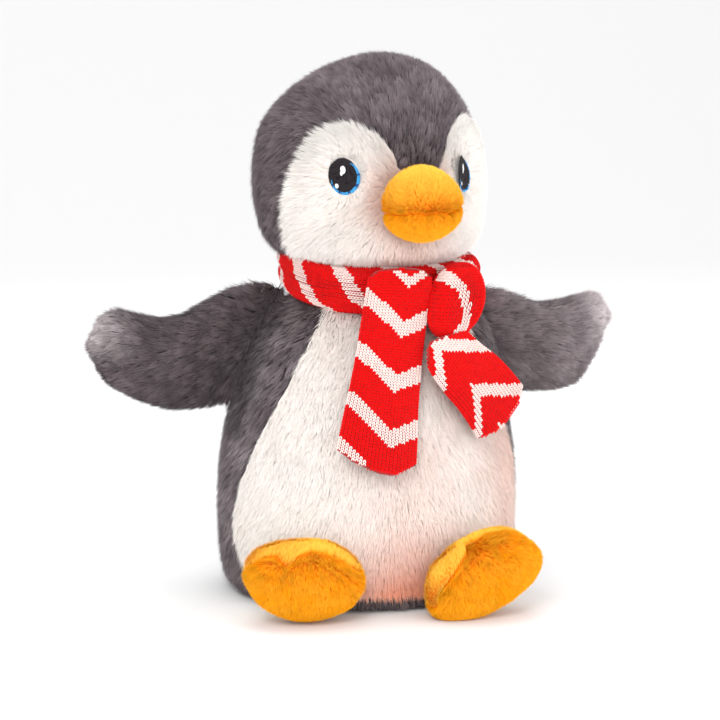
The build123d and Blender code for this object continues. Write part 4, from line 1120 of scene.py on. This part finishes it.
# ------------------------------------------------------------------ threads
def rods(name, A, B, N, radius, body, mat, colour_index, tone, sides=5, taper=0.0, lift=0.0, flat=0.85):
    """Soft threads from A to B, each a closed tube of five sides and three rings with pointed ends."""
    n = len(A)
    ax = B - A
    a = unit(ax)
    b = unit(np.cross(a, N))
    c = np.cross(b, a)
    c = np.where((c * N).sum(1, keepdims=True) < 0, -c, c)
    ts = [0.0, 0.14, 0.5, 0.86, 1.0]
    rad = [0.0, 0.86, 1.0, 0.86 - taper, 0.0]
    V = np.empty((n, 2 + 3 * sides, 3))
    V[:, 0] = A
    V[:, -1] = B
    th = np.linspace(0, 2 * math.pi, sides, endpoint=False) + 0.3
    radius = np.asarray(radius) * np.ones(n)
    for k in range(3):
        t = ts[k + 1]
        cen = A + ax * t + c * (lift * math.sin(math.pi * t))
        for j in range(sides):
            V[:, 1 + k * sides + j] = cen + (b * math.cos(th[j]) + c * math.sin(th[j]) * flat) * (radius * rad[k + 1])[:, None]
    tri = []
    for j in range(sides):
        j2 = (j + 1) % sides
        tri.append((0, 1 + j2, 1 + j))
        for k in range(2):
            p, q = 1 + k * sides, 1 + (k + 1) * sides
            tri.append((p + j, p + j2, q + j2))
            tri.append((p + j, q + j2, q + j))
        p = 1 + 2 * sides
        tri.append((p + j, p + j2, 1 + 3 * sides))
    tri = np.array(tri)
    m = V.shape[1]
    F = (np.arange(n)[:, None, None] * m + tri[None]).reshape(-1).astype(np.int32)
    me = bpy.data.meshes.new(name)
    me.vertices.add(n * m)
    me.vertices.foreach_set("co", (V * MM).astype(np.float32).ravel())
    me.loops.add(len(F))
    me.loops.foreach_set("vertex_index", F)
    me.polygons.add(len(F) // 3)
    me.polygons.foreach_set("loop_start", np.arange(len(F) // 3, dtype=np.int32) * 3)
    me.polygons.foreach_set("use_smooth", np.ones(len(F) // 3, bool))
    me.update(calc_edges=True)
    ti = np.floor(np.clip(tone, 0, 1) * (LEVELS - 1) + 0.5).astype(int)
    ci = np.asarray(colour_index).astype(int) * np.ones(n, int)
    k = 0.82 + 0.32 * ti / (LEVELS - 1)
    col = np.ones((n, m, 4), np.float32)
    col[..., :3] = (THREAD[ci] * k[:, None])[:, None]
    ca = me.color_attributes.new(name="Col", type="FLOAT_COLOR", domain="POINT")
    ca.data.foreach_set("color", col.reshape(-1))
    cell = 1.0 / LEVELS
    al = np.concatenate([[0.0], np.repeat([0.14, 0.5, 0.86], sides), [1.0]])
    ac = np.concatenate([[0.5], np.tile(np.arange(sides) / (sides - 1), 3), [0.5]])
    UV = np.stack([(ti[:, None] + 0.1 + 0.8 * ac[None]) * cell, (ci[:, None] + 0.1 + 0.8 * al[None]) * cell], 2).reshape(-1, 2)[F]
    uvl = me.uv_layers.new(name="OFBake")
    uvl.data.foreach_set("uv", UV.astype(np.float32).ravel())
    me.materials.append(mat)
    ob = bpy.data.objects.new(name, me)
    bpy.context.scene.collection.objects.link(ob)
    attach(ob, body)
    return ob


# red, knit white, black, blue, deep blue, glint white
THREAD = np.array([srgb(226, 6, 7), srgb(250, 226, 220), srgb(34, 28, 32), srgb(62, 156, 214), srgb(24, 80, 140), srgb(252, 252, 252)])
m_knit = pile_material("knit_yarn", 0.9, 0.12, 0.5, (1.0, 0.6, 0.6), spec=0.08)
m_thread = pile_material("embroidery_thread", 0.6, 0.0, 0.4, (1, 1, 1), spec=0.25)
m_knit_back = cloth_material("knit_inner_loops", srgb(150, 8, 8), srgb(206, 40, 40), 1400, bump=0.5)


def knit(name, body, f, cols, rows, width, pitch, pattern, skip=None, seed=0, radius=0.27):
    """Rows of V-shaped loops over a surface. f(a, b) gives points for a across and b along, both counted in loops."""
    i, j = np.meshgrid(np.arange(cols), np.arange(rows))
    i, j = i.ravel().astype(float), j.ravel().astype(float)
    if skip is not None:
        k = ~skip(i, j)
        i, j = i[k], j[k]
    ci = pattern(i, j).astype(int)
    r = np.random.default_rng(seed)
    A, B, N, C, T = [], [], [], [], []
    tone = 0.5 + r.normal(0, 0.12, len(i))
    for sg in (-1, 1):
        a = f(i + 0.5 + sg * 0.06, j - 0.20)
        b = f(i + 0.5 + sg * 0.38, j + 1.02)
        m = f(i + 0.5 + sg * 0.22, j + 0.42)
        du = f(i + 0.5 + sg * 0.22 + 0.3, j + 0.42) - f(i + 0.5 + sg * 0.22 - 0.3, j + 0.42)
        n = unit(np.cross(du, b - a))
        A.append(a); B.append(b); N.append(n); C.append(ci); T.append(tone + r.normal(0, 0.05, len(i)))
    A, B, N, C, T = (np.concatenate(q) for q in (A, B, N, C, T))
    out = unit(N)
    sign = np.sign((out * OUT(A)).sum(1, keepdims=True))
    out = out * np.where(sign == 0, 1, sign)
    r0 = np.linalg.norm(f(i[:1] + 1.0, j[:1]) - f(i[:1], j[:1])) if len(i) else 1.0
    rad = radius * width * np.where(C == 1, 0.84, 1.0)
    A = A + out * (rad * 0.15)[:, None]
    B = B + out * (rad * 0.15)[:, None]
    return rods(name, A, B, out, rad, body, m_knit, C, T, taper=0.05, lift=radius * width * 0.7, flat=0.85)


OUT = None


def section_table(k=720, w=26.0, t=3.0, ex=0.62, ez=0.9):
    """Even steps round a flattened tube's section: share of the way, and the place across and through, from -1 to 1."""
    th = np.linspace(0, 2 * math.pi, k + 1)
    c, s_ = np.cos(th), np.sin(th)
    X, Y = np.sign(c) * np.abs(c) ** ex, np.sign(s_) * np.abs(s_) ** ez
    d = np.concatenate([[0], np.cumsum(np.hypot(np.diff(X) * w / 2, np.diff(Y) * t / 2))])
    return d / d[-1], X, Y, d[-1]


def tail(tag, body, node, line, thick, wdir0, wdir1, ndir, starts, ends, chevron):
    """A flattened knitted tube along a line of (x, y, z, width)."""
    r = spline_rows([(z, x, y, w) for x, y, z, w in line], 200)
    C = r[:, [1, 2, 0]]
    W = r[:, 3]
    d = np.concatenate([[0], np.cumsum(np.linalg.norm(np.diff(C, axis=0), axis=1))])
    total = d[-1]
    sh, SX, SY, per = section_table(w=W.mean(), t=thick)

    def point(share, sm):
        """share of the way round, and mm along."""
        share = np.asarray(share) % 1.0
        sm = np.asarray(sm)
        smc = np.clip(sm, 0, total)
        cen = np.stack([np.interp(smc, d, C[:, k]) for k in range(3)], -1)
        e = 0.5
        t0 = np.stack([np.interp(np.clip(smc - e, 0, total), d, C[:, k]) for k in range(3)], -1)
        t1 = np.stack([np.interp(np.clip(smc + e, 0, total), d, C[:, k]) for k in range(3)], -1)
        T = unit(t1 - t0)
        cen = cen + T * (sm - smc)[..., None]
        w = np.interp(smc, d, W)
        mix = (smc / total)[..., None]
        wd = unit(wdir0 * (1 - mix) + wdir1 * mix)
        nd = unit(np.cross(T, wd))
        nd = np.where((nd * ndir).sum(-1, keepdims=True) < 0, -nd, nd)
        wd = wd - T * (wd * T).sum(-1, keepdims=True) * 0.0
        cx = np.interp(share, sh, SX)
        tz = np.interp(share, sh, SY)
        edge = np.abs(cx) ** 4
        wave = 0.35 * np.sin(smc * 0.21 + 1.0) * edge + 0.25 * np.sin(smc * 0.13 + cx * 2.0)
        return cen + wd * (w / 2 * cx)[..., None] + nd * (thick / 2 * tz * (1 - 0.12 * edge) - 0.9 * cx ** 2 + 0.45 + wave)[..., None]

    def cross(share):
        return np.interp(np.asarray(share) % 1.0, sh, SX)

    def end(cx):
        return total + np.interp(cx, [e[0] for e in ends], [e[1] for e in ends])

    def start(cx):
        return np.interp(cx, [e[0] for e in starts], [e[1] for e in starts])

    nu, nv = 96, 110
    share = np.arange(nu) / nu
    v = np.linspace(0, 1, nv)
    S, V = np.meshgrid(share, v)
    along = start(cross(S)) + V * (end(cross(S)) - start(cross(S)))
    P = point(S, along)
    # close both ends softly
    for rowk, f in ((0, 0.0), (1, 0.55), (2, 0.85), (-1, 0.0), (-2, 0.55), (-3, 0.85)):
        mid = point(np.full(nu, 0.25), along[rowk]) * 0.5 + point(np.full(nu, 0.75), along[rowk]) * 0.5
        cxs = cross(share)
        # flatten the thickness only
        back = point((1.0 - share) % 1.0, along[rowk])
        P[rowk] = (P[rowk] + back) / 2 + (P[rowk] - back) / 2 * f
    s = outward(inset_grid(P, 0.28))
    band = s.mesh(f"scarf_tail_{tag}_band")
    band.data.materials.append(m_knit_back)
    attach(band, body)
    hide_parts(node)
    cw = 1.15
    cols = int(round(per / cw))
    first = int(np.floor(min(e[1] for e in starts) / 0.98)) - 1
    rows = int((end(0.3) + 2.5) / 0.98) - first
    global OUT
    OUT = lambda A: None
    cc = C.mean(0)

    def f(i, j):
        return point(np.asarray(i) / cols, (np.asarray(j) + first) * 0.98)

    def outw(A):
        k = np.argmin(((A[:, None, :] - C[None, ::8]) ** 2).sum(2), 1)
        return A - C[::8][k]
    OUT = outw

    def pattern(i, j):
        share = (i + 0.5) / cols
        cx = cross(share)
        sm = (j + first) * 0.98
        return chevron(cx, sm, np.interp(np.clip(sm, 0, total), d, W), share)

    def skip(i, j):
        cx = cross((i + 0.5) / cols)
        sm = (j + first) * 0.98
        return (sm + 1.0 > end(cx)) | (sm - 0.7 < start(cx))

    loops = knit(f"scarf_tail_{tag}_loops", body, f, cols, rows, cw, 0.98, pattern, skip, seed=5)


def front_chevron(cx, sm, w, share):
    u = cx * w / 2
    u0 = 0.24 * w / 2
    sl = np.where(u < u0, 0.80, 0.52)
    q = sm + sl * np.abs(u - u0)
    out = np.zeros(len(q))
    for k, h in ((4.4, 1.6), (20.9, 3.1), (40.2, 3.1), (59.4, 3.1), (78.4, 3.2)):
        out[np.abs(q - k) < h] = 1
    return out


def side_chevron(cx, sm, w, share):
    u = cx * w / 2
    u0 = -0.34 * w / 2
    sl = np.where(u < u0, 1.5, 1.0)
    q = sm - sl * np.abs(u - u0) - 9.8
    out = np.zeros(len(q))
    for k in (-8.6, 13.6, 33.2):
        out[np.abs(q - k) < 3.0] = 1
    return out


tail("front", "tail_front", "scarf_tail_front",
     [(1.9, -41.6, 121.8, 22.0), (1.3, -42.9, 116, 22.8), (0.8, -43.2, 113, 23.0), (-1.0, -44.4, 103, 23.2), (-3.5, -46.6, 91, 23.6), (-6.2, -50.4, 78, 25.0), (-8.6, -53.4, 66, 27.4), (-10.3, -55.4, 56.8, 29.2)],
     3.0, np.array([1.0, 0.0, -0.02]), np.array([0.973, 0.0, -0.231]), np.array([0, -1.0, 0.05]),
     [(-1.0, 2.4), (-0.8, 0.6), (-0.5, -0.4), (0.0, -0.8), (0.5, -0.4), (0.8, 0.6), (1.0, 2.4)], [(-1.0, -0.8), (-0.6, 2.4), (0.1, 4.8), (0.45, 4.6), (1.0, -0.6)], front_chevron)
tail("side", "tail_side", "scarf_tail_side",
     [(13.2, -47.0, 99.0, 19.0), (15.6, -48.0, 96.0, 20.0), (18.9, -48.0, 91.8, 22.0), (24.0, -47.4, 86.6, 24.0), (30.2, -45.8, 80.5, 26.0), (39.2, -42.4, 69.2, 28.5)],
     3.0, np.array([0.65, 0.396, 0.641]), np.array([0.65, 0.396, 0.641]), np.array([0.40, -0.90, 0.15]),
     [(-1.0, 4.5), (-0.7, 0.5), (-0.4, -0.5), (1.0, 6.5)], [(-1.0, -1.6), (-0.6, 1.6), (-0.25, 3.2), (0.5, 3.0), (1.0, 1.4)], side_chevron)

# ------------------------------------------------------------------ loop and knot
LOOP_C, LOOP_R, LOOP_HALF, LOOP_TILT = np.array([4.0, -2.0, 116.0]), 30.8, (6.4, 8.6), math.radians(5.5)


def loop_point(share, ang):
    """share round the section from the outside upwards, and angle round the neck from the front."""
    share, ang = np.asarray(share), np.asarray(ang)
    a = share * 2 * math.pi
    rad = np.stack([np.sin(ang), -np.cos(ang), np.zeros_like(ang)], -1)
    tilt = np.cos(ang) * math.sin(LOOP_TILT)
    cen = LOOP_C + rad * LOOP_R
    cen = cen - UP * (LOOP_R * tilt)[..., None]
    cen = cen + UP * (4.0 * np.exp(-((np.angle(np.exp(1j * (ang + 1.75)))) / 0.62) ** 2))[..., None]
    crease = np.exp(-((np.angle(np.exp(1j * (a - 0.10 - 0.30 * np.sin(ang * 2 + 0.9))))) / 0.20) ** 2)
    crease2 = np.exp(-((np.angle(np.exp(1j * (a - 0.95 + 0.35 * np.sin(ang * 3 + 1.0))))) / 0.18) ** 2)
    crease3 = np.exp(-((np.angle(np.exp(1j * (a + 0.85 - 0.4 * np.sin(ang * 3 + 2.0))))) / 0.16) ** 2)
    k = 1.0 - 0.19 * crease - 0.10 * crease2 - 0.08 * crease3 + 0.05 * np.sin(ang * 5 + 1.3) + 0.03 * np.sin(ang * 11 + a * 2)
    e = 0.86
    c, s_ = np.cos(a), np.sin(a)
    x = np.sign(c) * np.abs(c) ** e * LOOP_HALF[0] * k
    z = np.sign(s_) * np.abs(s_) ** e * LOOP_HALF[1] * k
    return cen + rad * x[..., None] + UP * z[..., None]


def loop():
    nv, nu = 220, 56
    ang = np.linspace(0, 2 * math.pi, nv + 1)
    sh = np.arange(nu) / nu
    S, A = np.meshgrid(sh, ang)
    P = loop_point(S, A)
    P[-1] = P[0]
    cenl = P.mean(1, keepdims=True)
    V = (cenl + (P - cenl) * 0.955)[:-1].reshape(-1, 3)
    F = []
    for v in range(nv):
        for u in range(nu):
            v2, u2 = (v + 1) % nv, (u + 1) % nu
            F.append((v * nu + u, v * nu + u2, v2 * nu + u2, v2 * nu + u))
    ob = new_mesh("scarf_loop_band", V, F)
    ob.data.materials.append(m_knit_back)
    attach(ob, "torso")
    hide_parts("scarf_loop")
    cols, rows = 42, 196
    global OUT

    def f(i, j):
        return loop_point(np.asarray(i) / cols, np.asarray(j) / rows * 2 * math.pi)

    def outw(A):
        q = A - LOOP_C
        a = np.arctan2(q[:, 0], -q[:, 1])
        rad = np.stack([np.sin(a), -np.cos(a), np.zeros_like(a)], -1)
        c = LOOP_C + rad * LOOP_R - UP * (LOOP_R * np.cos(a) * math.sin(LOOP_TILT))[:, None]
        return A - c
    OUT = outw

    def pattern(i, j):
        u = (((i + 0.5) / cols + 0.5) % 1.0 - 0.5) * 47.0
        ang = j / rows * 2 * math.pi
        fold = (0.10 + 0.30 * np.sin(ang * 2 + 0.9)) / (2 * math.pi) * 47.0
        # 196 rows hold 12 repeats; the slant changes at the fold
        q = j * (12 * 16.0 / rows)
        low = np.abs(((q - 176.0 + 0.85 * (u - fold) + 8.0) % 16.0) - 8.0) < 2.5
        high = np.abs(((q - 176.0 + 0.60 * (u - fold) + 8.0) % 16.0) - 8.0) < 2.5
        return np.where(u < fold, low, high).astype(int)

    loops = knit("scarf_loop_loops", "torso", f, cols, rows, 1.12, 0.98, pattern, None, seed=9)


loop()


def knot():
    c = np.array([22.6, -40.3, 109.8])
    R = np.array([12.2, 7.0, 13.2])
    M = rot("Z", 30)
    ax = M.T
    def point(share, t):
        th = np.asarray(share) * 2 * math.pi
        ph = np.clip(np.asarray(t), 0.0, 1.0) * math.pi
        e = 0.9
        f = lambda q: np.sign(q) * np.abs(q) ** e
        x, y, z = f(np.sin(ph)) * f(np.cos(th)), f(np.sin(ph)) * f(np.sin(th)), f(np.cos(ph))
        # slanted: the top leans to the right, with a diagonal crease
        k = 1.0 - 0.10 * np.exp(-((x * 0.6 + z * 0.8 + 0.25) / 0.12) ** 2) * (y < 0.2) + 0.03 * np.sin(4 * z + 2 * x)
        k = np.where(np.sin(ph) < 0.05, 1.0, k)
        X = (x + 0.22 * z) * R[0] * k * 0.95
        return c + X[..., None] * ax[0] + (y * R[1] * k)[..., None] * ax[1] + (z * R[2] * np.ones_like(k))[..., None] * ax[2]
    nv, nu = 60, 72
    S, T = np.meshgrid(np.arange(nu) / nu, np.linspace(0, 1, nv))
    P = point(S, T)
    for k in (0, -1):
        P[k] = P[k].mean(0)
    s = outward(P)
    s = outward(inset_grid(P, 0.25))
    ob = s.mesh("scarf_knot_band")
    ob.data.materials.append(m_knit_back)
    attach(ob, "torso")
    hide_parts("scarf_knot")
    global OUT
    OUT = lambda A: A - c
    cols, rows = 46, 33
    i, j = np.meshgrid(np.arange(cols), np.arange(rows))

    def f(i, j):
        return point(np.asarray(i) / cols, (np.asarray(j) + 1.0) / (rows + 1.0))

    def pattern(i, j):
        p = f(i + 0.5, j + 0.4) - c
        x, z = (p @ np.array([0.970, -0.242, 0.0])) / 10.4, p[:, 2] / 13.4
        rr = np.hypot(x + 0.55, z + 0.18)
        arc = (np.abs(rr - 0.88) < 0.16) & (p @ ax[1] < 2)
        return arc.astype(int)

    def skip(i, j):
        ph = (j + 1.0) / (rows + 1.0) * math.pi
        s_ = np.sin(ph)
        every = np.where(s_ > 0.42, 1, 2)
        return (i % every) != 0

    loops = knit("scarf_knot_loops", "torso", f, cols, rows, 1.12, 0.98, pattern, skip, seed=11)


knot()

# ------------------------------------------------------------------ eyes
def eyes():
    for side, tag, az, sink in ((-1, "right", 43.0, 0.0), (1, "left", 58.0, 0.25)):
        a = math.radians(az)
        n = HX * (side * math.sin(a)) - HY * math.cos(a)
        t = np.cross(UP, n)
        o = from_head(side * EYE_POS[0], EYE_POS[1], EYE_POS[2]) - n * sink
        # +t runs to the viewer's right when looking at the eye
        if t @ HX < 0:
            t = -t

        # the face's cloth under the eye, as a height along n: the stitches lie on it wherever it stands higher
        q = head_s.P.reshape(-1, 3) - o
        q = np.stack([q @ t, q[:, 2], q @ n], 1)
        q = q[(np.abs(q[:, 0]) < 8) & (np.abs(q[:, 1]) < 8) & (np.abs(q[:, 2]) < 6)]
        base = lambda x, z: np.stack([np.ones_like(x), x, z, x * x, x * z, z * z], -1)
        fit = np.linalg.lstsq(base(q[:, 0], q[:, 1]), q[:, 2], rcond=None)[0]

        def put(x, z, lift):
            dome = 0.55 * (1 - (x / 7.0) ** 2 - (z / 7.5) ** 2)
            if side > 0:
                dome = np.maximum(dome, base(x, z) @ fit + 0.25)
            return o + np.multiply.outer(x, t) + np.multiply.outer(z, UP) + np.multiply.outer(dome + lift, n)

        r = np.random.default_rng(31)

        def satin(name, cx, cz, rx, rz, lift, colour, ang, node, pitch=0.36, rad=0.29):
            """Side-by-side threads that fill an ellipse, laid at an angle."""
            ca, sa = math.cos(ang), math.sin(ang)
            A, B = [], []
            half = math.hypot(rx * sa, rz * ca)
            half = max(half, 0.4)
            k = np.arange(-half + pitch / 2, half, pitch)
            for q in k:
                # the chord of the ellipse at offset q from the middle, along (ca, sa)
                aa = (ca / rx) ** 2 + (sa / rz) ** 2
                bb = 2 * (-sa * ca / rx ** 2 + ca * sa / rz ** 2) * q
                cc = (sa * q / rx) ** 2 + (ca * q / rz) ** 2 - 1
                disc = bb * bb - 4 * aa * cc
                if disc <= 0:
                    continue
                t0, t1 = (-bb - math.sqrt(disc)) / (2 * aa), (-bb + math.sqrt(disc)) / (2 * aa)
                L = t1 - t0
                nseg = max(1, int(L / 3.2))
                j0 = r.uniform(0, 0.5) if nseg > 1 else 0
                cuts = [t0] + sorted([t0 + L * (m + j0) / nseg for m in range(1, nseg) if m + j0 < nseg - 0.1]) + [t1]
                for u0, u1 in zip(cuts[:-1], cuts[1:]):
                    u0 -= 0.12
                    u1 += 0.12
                    A.append((cx + u0 * ca - q * sa, cz + u0 * sa + q * ca))
                    B.append((cx + u1 * ca - q * sa, cz + u1 * sa + q * ca))
            A, B = np.array(A), np.array(B)
            PA = put(A[:, 0], A[:, 1], lift)
            PB = put(B[:, 0], B[:, 1], lift)
            N = np.tile(n, (len(A), 1))
            ob = rods(name, PA, PB, N, rad, "head", m_thread, np.full(len(A), colour), 0.5 + r.normal(0, 0.14, len(A)), lift=0.1, flat=0.7)
            if node:
                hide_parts(node)
            return ob

        # the black ground, the pupil and the two glints
        satin(f"eye_{tag}_ground_stitches", -0.2, 0.2, 5.3, 5.9, 0.08, 2, math.radians(-28), None, pitch=0.42, rad=0.34)
        satin(f"eye_{tag}_pupil_stitches", -0.25, 0.30, 5.6, 6.2, 0.28, 2, math.radians(62), f"eye_{tag}_pupil")
        # the crescent round it: threads that run outwards
        th = np.linspace(math.radians(64), math.radians(-168), 96)
        k = np.sin((th - th[-1]) / (th[0] - th[-1]) * math.pi) ** 0.45
        gx, gz = 0.42, -0.28
        wob = r.normal(0, 0.08, len(th))
        inner = np.stack([gx + (4.72 + wob) * np.cos(th) - 0.1, gz + (5.25 + wob) * np.sin(th) + 0.1], 1)
        outer = np.stack([gx + (4.95 + 1.05 * k + wob) * np.cos(th), gz + (5.40 + 0.95 * k + wob) * np.sin(th)], 1)
        if side > 0:
            pass
        PA = put(inner[:, 0], inner[:, 1], 0.40)
        PB = put(outer[:, 0], outer[:, 1], 0.30)
        blue = np.where(np.sin(th * 9) + r.normal(0, 0.5, len(th)) > 0.9, 4, 3)
        ob = rods(f"eye_{tag}_crescent_stitches", PA, PB, np.tile(n, (len(th), 1)), 0.2, "head", m_thread, blue, 0.5 + r.normal(0, 0.15, len(th)), lift=0.08, flat=0.7)
        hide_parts(f"eye_{tag}_iris")
        gl = 0.62 if side < 0 else 0.44
        g = satin(f"eye_{tag}_glint_stitches", 0.0, 2.3, 0.95, 1.45, gl, 5, math.radians(70), f"eye_{tag}_glints", pitch=0.3, rad=0.2)
        satin(f"eye_{tag}_glint_tail_stitches", -0.55, 0.95, 0.45, 0.65, gl - 0.02, 5, math.radians(60), None, pitch=0.28, rad=0.17)
        satin(f"eye_{tag}_low_glint_stitches", -2.35, -3.35, 0.62, 0.80, gl, 5, math.radians(60), None, pitch=0.28, rad=0.18)


eyes()
